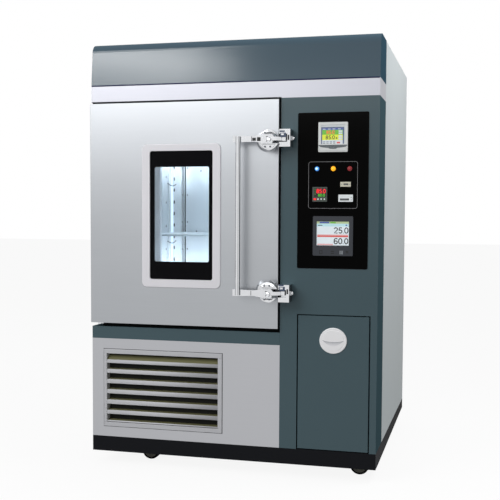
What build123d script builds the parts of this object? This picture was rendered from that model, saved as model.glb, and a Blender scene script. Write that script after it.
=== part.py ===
from build123d import *
import math
import os

os.makedirs("parts", exist_ok=True)

# Environmental test chamber on casters. Millimetres, +Z up, the front faces -Y.
# The origin is at floor level, under the middle of the whole object.

# Overall
width = 1000.0
depth = 944.0
floor_gap = 44.0
plinth_height = 53.0
lower_height = 346.0
rail_height = 42.0
door_zone = 776.0
trim_height = 57.0
hood_height = 146.0
front_depth = 165.0
sheet = 2.0
seam = 0.3

# Door and its frame
door_proud = 12.0
door_thick = 78.0
door_gap_side = 5.0
door_gap_top = 5.5
door_gap_bottom = 14.0
column_width = 324.0
gasket_thick = 17.7
hinge_inset = 14.0
hinge_pin_r = 5.0
running = 0.05

# Chamber space
wall_left = 98.0
chamber_width = 474.0
chamber_low = 75.0
chamber_height = 630.0
chamber_depth = 716.0
baffle_back = 108.0
rear_wall = 78.0

# Latch
bar_r = 8.0
bar_stand = 62.0
handle_reach = bar_stand + bar_r
latch_low = 135.0
latch_pitch = 503.0
pivot_inset = 22.0

# Rear fittings
spigot_reach = 24.0

# Reference planes worked out from the sizes above
left = -width / 2
right = width / 2
front = -(depth + spigot_reach - handle_reach) / 2
rear = front + depth
z_plinth = floor_gap
z_body = floor_gap + plinth_height
z_rail = z_body + lower_height
z_sill = z_rail + rail_height
z_trim = z_sill + door_zone
z_hood = z_trim + trim_height
z_top = z_hood + hood_height
x_column = right - column_width
door_front = front - door_proud
door_back = door_front + door_thick
door_x0 = left
door_x1 = x_column - door_gap_side
door_z0 = z_sill + door_gap_bottom
door_z1 = z_trim - door_gap_top
frame_face = door_back + gasket_thick + seam
hinge_x = left + hinge_inset
hinge_y = door_back - 12.0
cham_x0 = left + wall_left
cham_x1 = cham_x0 + chamber_width
cham_z0 = z_sill + chamber_low
cham_z1 = cham_z0 + chamber_height
cham_y0 = frame_face + sheet
cham_y1 = frame_face + chamber_depth
baffle_y = cham_y1 - baffle_back
foam_y1 = cham_y1 + rear_wall
foam_x1 = x_column - 14.0


def save(piece, name):
    piece.part.label = name
    export_step(piece.part, f"parts/{name}.step")


def area(x0, x1, y0, y1, mode=Mode.ADD):
    """A rectangle given by its edges in the current sketch."""
    with Locations(((x0 + x1) / 2, (y0 + y1) / 2)):
        Rectangle(x1 - x0, y1 - y0, mode=mode)


def facing(y):
    """The plane at y that looks to the front, with X to the right and Z up."""
    return Plane.XZ.offset(-y)


def from_left(x):
    """The plane at x that looks to the right, with Y to the rear and Z up."""
    return Plane.YZ.offset(x)


# Base: floor tray with an upright ring, and the caster plates bolted under it
tray_inset = 24.0
tray_thick = 4.0
ring_size = 30.0
caster_plate = 3.0
caster_front = 100.0
caster_left = 153.0
caster_right = 95.0
tray_x0 = left + sheet
tray_x1 = right - sheet
tray_y0 = front + tray_inset
tray_y1 = rear - sheet
z_tray = z_body + tray_thick
caster_spots = [
    (left + caster_left, front + caster_front),
    (right - caster_right, front + caster_front),
    (left + caster_left, rear - caster_front),
    (right - caster_right, rear - caster_front),
]
with BuildPart() as base_frame:
    with BuildSketch(Plane.XY.offset(z_body)):
        area(tray_x0, tray_x1, tray_y0, tray_y1)
    extrude(amount=tray_thick)
    with BuildSketch(Plane.XY.offset(z_tray)):
        area(tray_x0, tray_x1, tray_y0, tray_y1)
        area(
            tray_x0 + ring_size,
            tray_x1 - ring_size,
            tray_y0 + ring_size,
            tray_y1 - ring_size,
            mode=Mode.SUBTRACT,
        )
    extrude(amount=ring_size)

# Plinth: black skirt on three sides, lower edge rising towards the rear
skirt_flange = 30.0
skirt_lip = 10.0
skirt_rise = 15.0
with BuildPart() as plinth_skirt:
    with BuildSketch(Plane.XY.offset(z_plinth)):
        area(left, right, front, rear)
        area(left + sheet, right - sheet, front + sheet, rear, mode=Mode.SUBTRACT)
    extrude(amount=plinth_height)
    with BuildSketch(Plane.XY.offset(z_body - sheet)):
        area(left, right, front, rear)
        area(
            left + skirt_flange,
            right - skirt_flange,
            front + skirt_flange,
            rear,
            mode=Mode.SUBTRACT,
        )
    extrude(amount=sheet)
    with BuildSketch(Plane.XY.offset(z_plinth)):
        area(left, right, front, front + skirt_lip)
    extrude(amount=sheet)
    with BuildSketch(from_left(left)):
        with BuildLine():
            Polyline(
                (front + front_depth / 2, z_plinth),
                (rear, z_plinth),
                (rear, z_plinth + skirt_rise),
                close=True,
            )
        make_face()
    extrude(amount=width, mode=Mode.SUBTRACT)
save(plinth_skirt, "plinth_skirt")

# Casters: a plate and stem on the tray, a fork that swivels and a wheel that rolls
wheel_r = 32.5
wheel_width = 24.0
wheel_trail = 30.0
axle_r = 5.0
stem_r = 9.0
fork_side = 3.0
fork_gap = 1.5
plate_x = 70.0
plate_y = 70.0
fork_top = z_body - caster_plate - seam
fork_crown = 8.0


def caster_turn(index):
    """Front wheels trail to the right as parked, rear wheels trail to the rear."""
    return 0.0 if index < 2 else 90.0


plate_under = z_body - caster_plate
with BuildPart() as caster_plates:
    with BuildSketch(Plane.XY.offset(plate_under)):
        with Locations(*caster_spots):
            RectangleRounded(plate_x, plate_y, 6)
    extrude(amount=caster_plate)
    with BuildSketch(Plane.XY.offset(plate_under - fork_crown - 3)):
        with Locations(*caster_spots):
            Circle(stem_r)
    extrude(amount=fork_crown + 3)
    with BuildSketch(Plane.XY.offset(plate_under - fork_crown - 5)):
        with Locations(*caster_spots):
            Circle(stem_r + 4)
    extrude(amount=5 - seam)
base_frame.part = Compound(children=[*base_frame.part.solids(), *caster_plates.part.solids()])
save(base_frame, "base_frame")

caster_names = ["front_left", "front_right", "rear_left", "rear_right"]
for index, (spot, name) in enumerate(zip(caster_spots, caster_names)):
    swivel = Plane(origin=(spot[0], spot[1], 0)).rotated((0, 0, caster_turn(index)))
    side = Plane(swivel.origin, x_dir=swivel.x_dir, z_dir=-swivel.y_dir)
    fork_half = wheel_width / 2 + fork_gap + fork_side
    with BuildPart() as fork:
        with BuildSketch(swivel.offset(fork_top - fork_crown)):
            SlotCenterToCenter(wheel_trail / 2, 2 * fork_half)
        extrude(amount=fork_crown)
        with BuildSketch(side.offset(-fork_half)):
            with BuildLine():
                Polyline(
                    (-fork_half + 4, fork_top),
                    (fork_half + 6, fork_top),
                    (wheel_trail + 10, wheel_r),
                    (wheel_trail - 2, wheel_r - 10),
                    (wheel_trail - 11, wheel_r - 3),
                    close=True,
                )
            make_face()
        extrude(amount=fork_side)
        mirror(about=Plane(swivel.origin, z_dir=swivel.y_dir))
        with BuildSketch(swivel.offset(fork_top - fork_crown)):
            Circle(stem_r + running)
        extrude(amount=fork_crown, mode=Mode.SUBTRACT)
        with BuildSketch(side.offset(-fork_half)):
            with Locations((wheel_trail, wheel_r)):
                Circle(axle_r)
        extrude(amount=2 * fork_half)
    save(fork, f"caster_fork_{name}")
    with BuildPart() as wheel:
        with BuildSketch(side.offset(-wheel_width / 2)):
            with Locations((wheel_trail, wheel_r)):
                Circle(wheel_r)
                Circle(axle_r + running, mode=Mode.SUBTRACT)
        extrude(amount=wheel_width)
        rims = wheel.edges().filter_by(GeomType.CIRCLE).sort_by(lambda e: e.radius)[-2:]
        fillet(rims, 4)
    save(wheel, f"caster_wheel_{name}")

# Side panels: sheets behind the front assembly, with a turned-in front edge
panel_top = z_top - 2.0
fold = 18.0
port_y = front + 330.0
port_z = cham_z0 + 315.0
port_r = 25.0
port_wall = 4.0
for name, x_out, inward in (("left", left, 1), ("right", right, -1)):
    with BuildPart() as side_panel:
        with BuildSketch(Plane.XY.offset(z_body)):
            xs = sorted((x_out, x_out + inward * sheet))
            area(*xs, front + front_depth, rear)
        extrude(amount=panel_top - z_body)
        if name == "left":
            with BuildSketch(from_left(left)):
                with Locations((port_y, port_z)):
                    Circle(port_r + port_wall)
            extrude(amount=sheet, mode=Mode.SUBTRACT)
        if name == "right":
            with BuildSketch(Plane.XY.offset(z_tray + ring_size)):
                area(right - fold, right, front + front_depth, front + front_depth + sheet)
            extrude(amount=panel_top - sheet - z_tray - ring_size)
    save(side_panel, f"{name}_side_panel")

# Rear panel with warm air slots, and the power inlet gland beside them
gland_x = right - 150.0
gland_z = z_body + 90.0
slot_pitch = 22.0
with BuildPart() as rear_panel:
    with BuildSketch(facing(rear)):
        area(left + sheet + seam, right - sheet - seam, z_tray + ring_size, panel_top - sheet)
        with Locations((left + 300, z_body + 190)):
            with GridLocations(210, slot_pitch, 2, 9):
                SlotOverall(190, 8, mode=Mode.SUBTRACT)
        with Locations((gland_x, gland_z), (left + 520, z_body + 80)):
            Circle(12, mode=Mode.SUBTRACT)
    extrude(amount=sheet)

with BuildPart() as power_gland:
    with BuildSketch(facing(rear - sheet)):
        with Locations((gland_x, gland_z)):
            Circle(12)
    extrude(amount=-14)
    with BuildSketch(facing(rear)):
        with Locations((gland_x, gland_z)):
            RegularPolygon(18, 6)
    extrude(amount=-9)
    with BuildSketch(facing(rear - sheet)):
        with Locations((gland_x, gland_z)):
            RegularPolygon(17, 6)
    extrude(amount=6)
    with BuildSketch(facing(rear + 14)):
        with Locations((gland_x, gland_z)):
            Circle(6)
    extrude(amount=30, mode=Mode.SUBTRACT)
rear_panel.part = Compound(children=[*rear_panel.part.solids(), *power_gland.part.solids()])
save(rear_panel, "rear_panel")

# Drain spigot through the rear panel, the bare end takes a hose
spigot_r = 9.0
drain_pipe_r = 8.0
with BuildPart() as drain_spigot:
    with BuildSketch(facing(rear - 40)):
        with Locations((left + 520, z_body + 80)):
            Circle(drain_pipe_r)
    extrude(amount=-41)
    with BuildSketch(facing(rear)):
        with Locations((left + 520, z_body + 80)):
            Circle(spigot_r)
    extrude(amount=-spigot_reach)
    with BuildSketch(facing(rear - sheet)):
        with Locations((left + 520, z_body + 80)):
            Circle(16)
    extrude(amount=5)
    with BuildSketch(facing(rear + spigot_reach)):
        with Locations((left + 520, z_body + 80)):
            Circle(drain_pipe_r - 1.5)
    extrude(amount=60, mode=Mode.SUBTRACT)
save(drain_spigot, "drain_spigot")

# Roof between the hood and the rear panel
with BuildPart() as roof_panel:
    with BuildSketch(Plane.XY.offset(panel_top - sheet)):
        area(left + sheet, right - sheet, front + front_depth + sheet, rear)
    extrude(amount=sheet)
save(roof_panel, "roof_panel")

# Top hood: folded shell with a front that leans back into a round shoulder
hood_lean = 13.0
hood_shoulder = 34.0
with BuildPart() as top_hood:
    with BuildSketch(from_left(left)):
        with BuildLine():
            FilletPolyline(
                (front, z_hood),
                (front + hood_lean, z_top),
                (front + front_depth, z_top),
                radius=hood_shoulder,
            )
            Polyline(
                (front + front_depth, z_top),
                (front + front_depth, z_hood),
                (front, z_hood),
            )
        make_face()
    extrude(amount=width)
    open_faces = [top_hood.faces().sort_by(Axis.Y)[-1], top_hood.faces().sort_by(Axis.Z)[0]]
    offset(amount=-sheet, openings=open_faces)
save(top_hood, "top_hood")

# Header trim: bright band that wraps the front and both ends
with BuildPart() as header_trim:
    with BuildSketch(Plane.XY.offset(z_trim)):
        area(left, right, front, front + front_depth)
        area(left + sheet, right - sheet, front + sheet, front + front_depth, mode=Mode.SUBTRACT)
    extrude(amount=trim_height)
    with BuildSketch(Plane.XY.offset(z_trim)):
        area(left, x_column, front, frame_face)
    extrude(amount=sheet)
    with BuildSketch(Plane.XY.offset(z_hood - sheet)):
        area(left, right, front, front + fold)
    extrude(amount=sheet)
save(header_trim, "header_trim")

# Control column: folded sheet with the panel opening and the service opening
panel_x0 = x_column + 57.0
panel_x1 = x_column + 290.0
panel_z0 = z_sill + 217.0
panel_z1 = z_sill + 725.0
panel_lap = 12.0
service_x0 = x_column + 58.0
service_x1 = right - 22.0
service_z1 = z_body + 452.5
service_gap = 3.5
pivot2_x = service_x1 - service_gap - 8.0
pivot2_y = front + 8.0
pin2_r = 2.5
with BuildPart() as control_column:
    with BuildSketch(Plane.XY.offset(z_body)):
        area(x_column, right, front, front + front_depth)
        area(
            x_column + sheet,
            right - sheet,
            front + sheet,
            front + front_depth,
            mode=Mode.SUBTRACT,
        )
    extrude(amount=z_trim - z_body)
    with BuildSketch(facing(front + sheet)):
        area(
            panel_x0 + panel_lap,
            panel_x1 - panel_lap,
            panel_z0 + panel_lap,
            panel_z1 - panel_lap,
        )
        area(service_x0, service_x1, z_body, service_z1)
    extrude(amount=sheet, mode=Mode.SUBTRACT)
    with BuildSketch(Plane.XY.offset(z_body)):
        area(x_column, right - sheet, tray_y0, front + front_depth)
    extrude(amount=tray_thick + ring_size, mode=Mode.SUBTRACT)
    with BuildSketch(Plane.XY.offset(service_z1 + seam)):
        area(pivot2_x - 14, right - sheet, front + sheet, front + sheet + 18)
        with Locations((pivot2_x, pivot2_y)):
            Circle(pin2_r + running, mode=Mode.SUBTRACT)
    extrude(amount=4)
save(control_column, "control_column")

# Lower rail: box section under the door, its top is the sill
with BuildPart() as lower_rail:
    with BuildSketch(from_left(left)):
        area(front, frame_face + sheet, z_rail, z_sill)
        area(front + sheet, frame_face + sheet, z_rail + sheet, z_sill - sheet, mode=Mode.SUBTRACT)
    extrude(amount=width - column_width - seam)
    with BuildSketch(from_left(left)):
        area(front, front + front_depth, z_rail, z_sill)
    extrude(amount=sheet)
save(lower_rail, "lower_rail")

# Lower front panel with the louvre opening
louvre_x0 = left + 44.0
louvre_x1 = left + 476.0
louvre_z0 = z_body + 36.0
louvre_z1 = z_body + 309.0
louvre_lap = 10.0
with BuildPart() as lower_front_panel:
    with BuildSketch(Plane.XY.offset(z_body)):
        area(left, x_column - seam, front, front + sheet)
        area(left, left + sheet, front, front + front_depth)
    extrude(amount=lower_height)
    with BuildSketch(facing(front + sheet)):
        area(
            louvre_x0 + louvre_lap,
            louvre_x1 - louvre_lap,
            louvre_z0 + louvre_lap,
            louvre_z1 - louvre_lap,
        )
    extrude(amount=sheet, mode=Mode.SUBTRACT)
save(lower_front_panel, "lower_front_panel")

# Louvre grille: frame with folded blades that hang down and forward
blade_count = 7
blade_lip = 19.0
blade_depth = 24.0
blade_rise = 20.0
grille_proud = 3.0
frame_band = 11.0
blade_pitch = (louvre_z1 - louvre_z0 - 2 * frame_band) / blade_count
with BuildPart() as louvre_grille:
    with BuildSketch(facing(front)):
        area(louvre_x0, louvre_x1, louvre_z0, louvre_z1)
        area(
            louvre_x0 + frame_band,
            louvre_x1 - frame_band,
            louvre_z0 + frame_band,
            louvre_z1 - frame_band,
            mode=Mode.SUBTRACT,
        )
    extrude(amount=grille_proud)
    with BuildSketch(facing(front + blade_depth)):
        area(
            louvre_x0 + louvre_lap + seam,
            louvre_x1 - louvre_lap - seam,
            louvre_z0 + louvre_lap + seam,
            louvre_z1 - louvre_lap - seam,
        )
        area(
            louvre_x0 + frame_band + 1,
            louvre_x1 - frame_band - 1,
            louvre_z0 + frame_band + 1,
            louvre_z1 - frame_band - 1,
            mode=Mode.SUBTRACT,
        )
    extrude(amount=blade_depth)
    with BuildSketch(from_left(louvre_x0 + frame_band)):
        for index in range(blade_count):
            foot = louvre_z0 + frame_band + index * blade_pitch
            with BuildLine():
                Polyline(
                    (front - grille_proud, foot),
                    (front - grille_proud, foot + blade_lip),
                    (front + blade_depth - 2, foot + blade_lip + blade_rise * 0.6),
                    (front + blade_depth - 2, foot + blade_lip + blade_rise * 0.6 - 1.6),
                    (front - grille_proud + 1.6, foot + blade_lip - 1.6),
                    (front - grille_proud + 1.6, foot),
                    close=True,
                )
            make_face()
    extrude(amount=louvre_x1 - louvre_x0 - 2 * frame_band)
save(louvre_grille, "louvre_grille")

# Filter pad behind the louvre, standing on the front member of the base
filter_gap = 2.0
filter_thick = 10.0
filter_y = front + blade_depth + filter_gap
with BuildPart() as air_filter:
    with BuildSketch(facing(filter_y + filter_thick)):
        area(louvre_x0, louvre_x1, z_tray + ring_size, louvre_z1)
    extrude(amount=filter_thick)
    with BuildSketch(facing(filter_y + filter_thick)):
        with Locations(((louvre_x0 + louvre_x1) / 2, louvre_z1 - 7)):
            Rectangle(60, 6)
    extrude(amount=-4)
save(air_filter, "air_filter")

# Front frame around the chamber opening, with the return on the left side
with BuildPart() as front_frame:
    with BuildSketch(facing(frame_face + sheet)):
        area(left, x_column, z_sill, z_trim)
        area(cham_x0, cham_x1, cham_z0, cham_z1, mode=Mode.SUBTRACT)
    extrude(amount=sheet)
    with BuildSketch(Plane.XY.offset(z_sill)):
        area(left, left + sheet, frame_face, front + front_depth)
    extrude(amount=z_trim - z_sill)
save(front_frame, "front_frame")

# Chamber liner: five bright sheets welded to a box open to the front
fan_x = (cham_x0 + cham_x1) / 2
fan_z = cham_z0 + 380.0
shaft_r = 6.0
shaft_hole_r = 11.0
with BuildPart() as liner_back:
    with BuildSketch(facing(cham_y1 + sheet)):
        area(cham_x0 - sheet, cham_x1 + sheet, cham_z0 - sheet, cham_z1 + sheet)
        with Locations((fan_x, fan_z)):
            Circle(shaft_hole_r, mode=Mode.SUBTRACT)
    extrude(amount=sheet)
with BuildPart() as liner_left:
    with BuildSketch(facing(cham_y1)):
        area(cham_x0 - sheet, cham_x0, cham_z0, cham_z1)
    extrude(amount=cham_y1 - cham_y0)
    with BuildSketch(from_left(cham_x0 - sheet)):
        with Locations((port_y, port_z)):
            Circle(port_r + port_wall)
    extrude(amount=sheet, mode=Mode.SUBTRACT)
with BuildPart() as liner_right:
    with BuildSketch(facing(cham_y1)):
        area(cham_x1, cham_x1 + sheet, cham_z0, cham_z1)
    extrude(amount=cham_y1 - cham_y0)
with BuildPart() as liner_floor:
    with BuildSketch(facing(cham_y1)):
        area(cham_x0 - sheet, cham_x1 + sheet, cham_z0 - sheet, cham_z0)
    extrude(amount=cham_y1 - cham_y0)
with BuildPart() as liner_roof:
    with BuildSketch(facing(cham_y1)):
        area(cham_x0 - sheet, cham_x1 + sheet, cham_z1, cham_z1 + sheet)
    extrude(amount=cham_y1 - cham_y0)
liner_sheets = (liner_back, liner_left, liner_right, liner_floor, liner_roof)
with BuildPart() as chamber_liner:
    add(liner_back.part)
chamber_liner.part = Compound(children=[solid for piece in liner_sheets for solid in piece.part.solids()])
save(chamber_liner, "chamber_liner")

# Insulation: five foam boards around the liner, bored for the shaft and the cable port
with BuildPart() as board_back:
    with BuildSketch(facing(foam_y1)):
        area(left + sheet, foam_x1, z_sill + seam, z_trim - seam)
        with Locations((fan_x, fan_z)):
            Circle(shaft_hole_r, mode=Mode.SUBTRACT)
    extrude(amount=foam_y1 - cham_y1 - sheet)
with BuildPart() as board_left:
    with BuildSketch(facing(cham_y1 + sheet)):
        area(left + sheet, cham_x0 - sheet, cham_z0 - sheet, cham_z1 + sheet)
    extrude(amount=cham_y1 + sheet - cham_y0)
    with BuildSketch(from_left(left + sheet)):
        with Locations((port_y, port_z)):
            Circle(port_r + port_wall)
    extrude(amount=wall_left - sheet, mode=Mode.SUBTRACT)
with BuildPart() as board_right:
    with BuildSketch(facing(cham_y1 + sheet)):
        area(cham_x1 + sheet, foam_x1, cham_z0 - sheet, cham_z1 + sheet)
    extrude(amount=cham_y1 + sheet - cham_y0)
with BuildPart() as board_floor:
    with BuildSketch(facing(cham_y1 + sheet)):
        area(left + sheet, foam_x1, z_sill + seam, cham_z0 - sheet)
    extrude(amount=cham_y1 + sheet - cham_y0)
with BuildPart() as board_roof:
    with BuildSketch(facing(cham_y1 + sheet)):
        area(left + sheet, foam_x1, cham_z1 + sheet, z_trim - seam)
    extrude(amount=cham_y1 + sheet - cham_y0)
boards = (board_back, board_left, board_right, board_floor, board_roof)
with BuildPart() as insulation:
    add(board_back.part)
insulation.part = Compound(children=[solid for piece in boards for solid in piece.part.solids()])
save(insulation, "insulation")

# Cable port: flanged sleeve through the left wall
port_flange = 3.0
with BuildPart() as cable_port:
    with BuildSketch(from_left(left)):
        with Locations((port_y, port_z)):
            Circle(port_r + port_wall)
    extrude(amount=wall_left)
    with BuildSketch(from_left(cham_x0)):
        with Locations((port_y, port_z)):
            Circle(port_r + 14)
    extrude(amount=port_flange)
    with BuildSketch(from_left(left)):
        with Locations((port_y, port_z)):
            Circle(port_r)
    extrude(amount=wall_left + port_flange, mode=Mode.SUBTRACT)
save(cable_port, "cable_port")

# Rear baffle: air plate in front of the plenum, slit down both sides
baffle_slit = 8.0
baffle_end = 24.0
inlet_r = 92.0
slot_high = 9.0
slot_step = 18.0
with BuildPart() as rear_baffle:
    with BuildSketch(facing(baffle_y + sheet)):
        area(
            cham_x0 + baffle_slit,
            cham_x1 - baffle_slit,
            cham_z0 + baffle_end,
            cham_z1 - baffle_end,
        )
        for step in range(-4, 5):
            half = math.sqrt(inlet_r**2 - (step * slot_step) ** 2) - slot_high / 2
            with Locations((fan_x, fan_z + step * slot_step)):
                SlotOverall(2 * half, slot_high, mode=Mode.SUBTRACT)
    extrude(amount=sheet)
    with BuildSketch(facing(cham_y1)):
        for x_post in (cham_x0 + 20, cham_x1 - 20):
            for z_post in (cham_z0 + 50, cham_z1 - 50):
                with Locations((x_post, z_post)):
                    Circle(6)
    extrude(amount=cham_y1 - baffle_y - sheet)
save(rear_baffle, "rear_baffle")

# Shelf rails: two pressed strips on each side wall, with slots for the clips
rail_thick = 1.5
rail_wide = 120.0
rail_rib = 5.0
rail_spots = [baffle_y - 265.0, baffle_y - 570.0]
rail_z0 = cham_z0 + 12.0
rail_z1 = cham_z1 - 12.0
clip_pitch = 45.0
with BuildPart() as shelf_rails:
    for y_rail in rail_spots:
        for wall, inward in ((cham_x0, 1), (cham_x1, -1)):
            back = wall if inward > 0 else wall - rail_thick
            with BuildSketch(from_left(back)):
                area(y_rail, y_rail + rail_wide, rail_z0, rail_z1)
                for row in range(13):
                    with Locations((y_rail + rail_wide - 14, rail_z0 + 33 + row * clip_pitch)):
                        Rectangle(9, 12, mode=Mode.SUBTRACT)
            extrude(amount=rail_thick)
            rib_x = wall if inward > 0 else wall - rail_rib
            with BuildSketch(from_left(rib_x)):
                area(y_rail + 62, y_rail + 86, rail_z0, rail_z1)
            extrude(amount=rail_rib)
save(shelf_rails, "shelf_rails")

# Wire shelves resting against the ribs of the rails
wire_r = 3.0
shelf_levels = [cham_z0 + 80.0, cham_z0 + 240.0]
shelf_y0 = frame_face + 40.0
shelf_y1 = baffle_y - 20.0
shelf_x0 = cham_x0 + rail_rib + seam
shelf_x1 = cham_x1 - rail_rib - seam
cross_count = 13
with BuildPart() as wire_shelves:
    for level in shelf_levels:
        with BuildSketch(Plane.XY.offset(level)):
            area(shelf_x0, shelf_x1, shelf_y0, shelf_y1)
            area(
                shelf_x0 + 2 * wire_r,
                shelf_x1 - 2 * wire_r,
                shelf_y0 + 2 * wire_r,
                shelf_y1 - 2 * wire_r,
                mode=Mode.SUBTRACT,
            )
        extrude(amount=2 * wire_r)
        with BuildSketch(facing(shelf_y1 - wire_r)):
            with Locations(((shelf_x0 + shelf_x1) / 2, level + 2 * wire_r)):
                with GridLocations((shelf_x1 - shelf_x0 - 30) / (cross_count - 1), 1, cross_count, 1):
                    Rectangle(4, 4)
        extrude(amount=shelf_y1 - shelf_y0 - 2 * wire_r)
save(wire_shelves, "wire_shelves")

# Plenum: evaporator coil below the fan, heater above it
coil_x0 = cham_x0 + 40.0
coil_x1 = cham_x1 - 40.0
coil_y0 = baffle_y + 22.0
coil_y1 = cham_y1
coil_z0 = cham_z0 + 40.0
coil_high = 200.0
fin_count = 14
tube_r = 5.0


def finned_coil(x0, x1, y0, y1, z0, high, fins, columns, rows):
    """Straight tubes through a row of fins."""
    step = (x1 - x0 - sheet) / (fins - 1)
    with BuildPart() as coil:
        for index in range(fins):
            with BuildSketch(from_left(x0 + index * step)):
                area(y0, y1, z0, z0 + high)
            extrude(amount=sheet)
        with BuildSketch(from_left(x0)):
            with Locations(((y0 + y1) / 2, z0 + high / 2)):
                with GridLocations((y1 - y0) / columns, high / rows, columns, rows):
                    RegularPolygon(tube_r, 8)
        extrude(amount=x1 - x0)
    return coil


evaporator_coil = finned_coil(
    coil_x0, coil_x1, coil_y0, coil_y1, coil_z0, coil_high, fin_count, 2, 5
)
save(evaporator_coil, "evaporator_coil")

heater_r = 5.0
heater_z = cham_z1 - 110.0
with BuildPart() as heater_element:
    with BuildSketch(facing(cham_y1)):
        with Locations((fan_x - 150, heater_z), (fan_x + 150, heater_z)):
            Circle(heater_r)
    extrude(amount=45)
    with BuildSketch(from_left(fan_x - 150)):
        with Locations((cham_y1 - 45, heater_z)):
            Circle(heater_r)
    extrude(amount=300)
    with BuildSketch(from_left(fan_x - 150)):
        with Locations((cham_y1 - 45, heater_z + 40)):
            Circle(heater_r)
    extrude(amount=300)
    with BuildSketch(Plane.XY.offset(heater_z)):
        with Locations((fan_x, cham_y1 - 45)):
            Rectangle(12, 4)
    extrude(amount=40)
save(heater_element, "heater_element")

# Circulation fan: wheel and shaft, driven by the motor behind the insulation
motor_r = 52.0
motor_bearing = 18.0
with BuildPart() as fan_motor:
    with BuildSketch(facing(foam_y1)):
        with Locations((fan_x, fan_z)):
            Circle(motor_r)
    extrude(amount=-(rear - 4 * sheet - foam_y1 - 6))
    fillet(fan_motor.edges().group_by(Axis.Y)[-1], 8)
    with BuildSketch(facing(foam_y1)):
        with Locations((fan_x, fan_z)):
            Circle(shaft_r + running)
    extrude(amount=-motor_bearing, mode=Mode.SUBTRACT)
save(fan_motor, "fan_motor")

blade_total = 6
fan_r = 84.0
fan_width = 30.0
fan_y0 = baffle_y + 16.0
with BuildPart() as circulation_fan:
    with BuildSketch(facing(foam_y1 + motor_bearing - 2)):
        with Locations((fan_x, fan_z)):
            Circle(shaft_r)
    extrude(amount=foam_y1 + motor_bearing - 2 - fan_y0)
    with BuildSketch(facing(fan_y0 + fan_width)):
        with Locations((fan_x, fan_z)):
            Circle(20)
    extrude(amount=fan_width)
    with BuildSketch(facing(fan_y0 + fan_width)):
        with Locations((fan_x, fan_z)):
            with PolarLocations(fan_r / 2 + 8, blade_total):
                Rectangle(fan_r - 16, 3)
    extrude(amount=fan_width)
    with BuildSketch(facing(fan_y0 + fan_width + sheet)):
        with Locations((fan_x, fan_z)):
            Circle(fan_r)
    extrude(amount=sheet)
save(circulation_fan, "circulation_fan")

# Strip lamp at the top of the chamber
lamp_y = frame_face + 130.0
with BuildPart() as chamber_lamp:
    with BuildSketch(Plane.XY.offset(cham_z1)):
        with Locations((fan_x, lamp_y)):
            RectangleRounded(320, 34, 8)
    extrude(amount=-16)
    with BuildSketch(from_left(fan_x - 145)):
        with Locations((lamp_y, cham_z1 - 22)):
            Circle(8)
    extrude(amount=290)
save(chamber_lamp, "chamber_lamp")

# Condensing unit on the tray, behind the filter
unit_y0 = filter_y + filter_thick + 18.0
unit_x0 = louvre_x0 + 20.0
unit_x1 = louvre_x1 - 20.0
unit_high = 240.0
unit_deep = 44.0
condenser_coil = finned_coil(
    unit_x0, unit_x1, unit_y0, unit_y0 + unit_deep, z_tray, unit_high, 16, 2, 6
)
save(condenser_coil, "condenser_coil")

shroud_y = unit_y0 + unit_deep
shroud_deep = 46.0
cool_x = (unit_x0 + unit_x1) / 2
cool_z = z_tray + unit_high / 2
cool_r = 100.0
arm_y = shroud_y + shroud_deep
cool_motor_r = 32.0
cool_motor_deep = 60.0
with BuildPart() as condenser_shroud:
    with BuildSketch(facing(arm_y)):
        area(unit_x0, unit_x1, z_tray, z_tray + unit_high)
    extrude(amount=shroud_deep)
    with BuildSketch(facing(arm_y - sheet)):
        area(unit_x0 + sheet, unit_x1 - sheet, z_tray + sheet, z_tray + unit_high - sheet)
    extrude(amount=shroud_deep - sheet, mode=Mode.SUBTRACT)
    with BuildSketch(facing(arm_y)):
        with Locations((cool_x, cool_z)):
            Circle(cool_r + 5)
    extrude(amount=sheet, mode=Mode.SUBTRACT)
    with BuildSketch(facing(arm_y + 4)):
        with Locations((cool_x, cool_z)):
            Circle(cool_motor_r)
            Rectangle(2 * cool_r + 30, 14)
            Circle(shaft_r + running, mode=Mode.SUBTRACT)
    extrude(amount=4)
    with BuildSketch(facing(arm_y + 4 + cool_motor_deep)):
        with Locations((cool_x, cool_z)):
            Circle(cool_motor_r)
    extrude(amount=cool_motor_deep)
    with BuildSketch(facing(arm_y + 24)):
        with Locations((cool_x, cool_z)):
            Circle(shaft_r + running)
    extrude(amount=24, mode=Mode.SUBTRACT)
save(condenser_shroud, "condenser_shroud")

with BuildPart() as condenser_fan:
    with BuildSketch(facing(arm_y + 22)):
        with Locations((cool_x, cool_z)):
            Circle(shaft_r)
    extrude(amount=22 + 26)
    with BuildSketch(facing(arm_y - 6)):
        with Locations((cool_x, cool_z)):
            Circle(24)
    extrude(amount=20)
    with BuildSketch(facing(arm_y - 12)):
        with Locations((cool_x, cool_z)):
            with PolarLocations(cool_r / 2 + 8, 5):
                Rectangle(cool_r - 16, 52)
    extrude(amount=3)
save(condenser_fan, "condenser_fan")

can_x = left + 250.0
can_y = front + 480.0
can_r = 88.0
can_high = 190.0
with BuildPart() as compressor:
    with BuildSketch(Plane.XY.offset(z_tray + 14)):
        with Locations((can_x, can_y)):
            Circle(can_r)
    extrude(amount=can_high)
    fillet(compressor.edges().sort_by(Axis.Z)[-1], 40)
    with BuildSketch(Plane.XY.offset(z_tray + 14)):
        with Locations((can_x, can_y)):
            RectangleRounded(230, 150, 14)
    extrude(amount=4)
    with BuildSketch(Plane.XY.offset(z_tray)):
        with Locations((can_x, can_y)):
            with GridLocations(196, 116, 2, 2):
                Circle(12)
    extrude(amount=14)
    with BuildSketch(Plane.XZ.offset(-can_y)):
        with Locations((can_x + can_r, z_tray + 120)):
            Rectangle(50, 60)
    extrude(amount=30, both=True)
save(compressor, "compressor")

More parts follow.
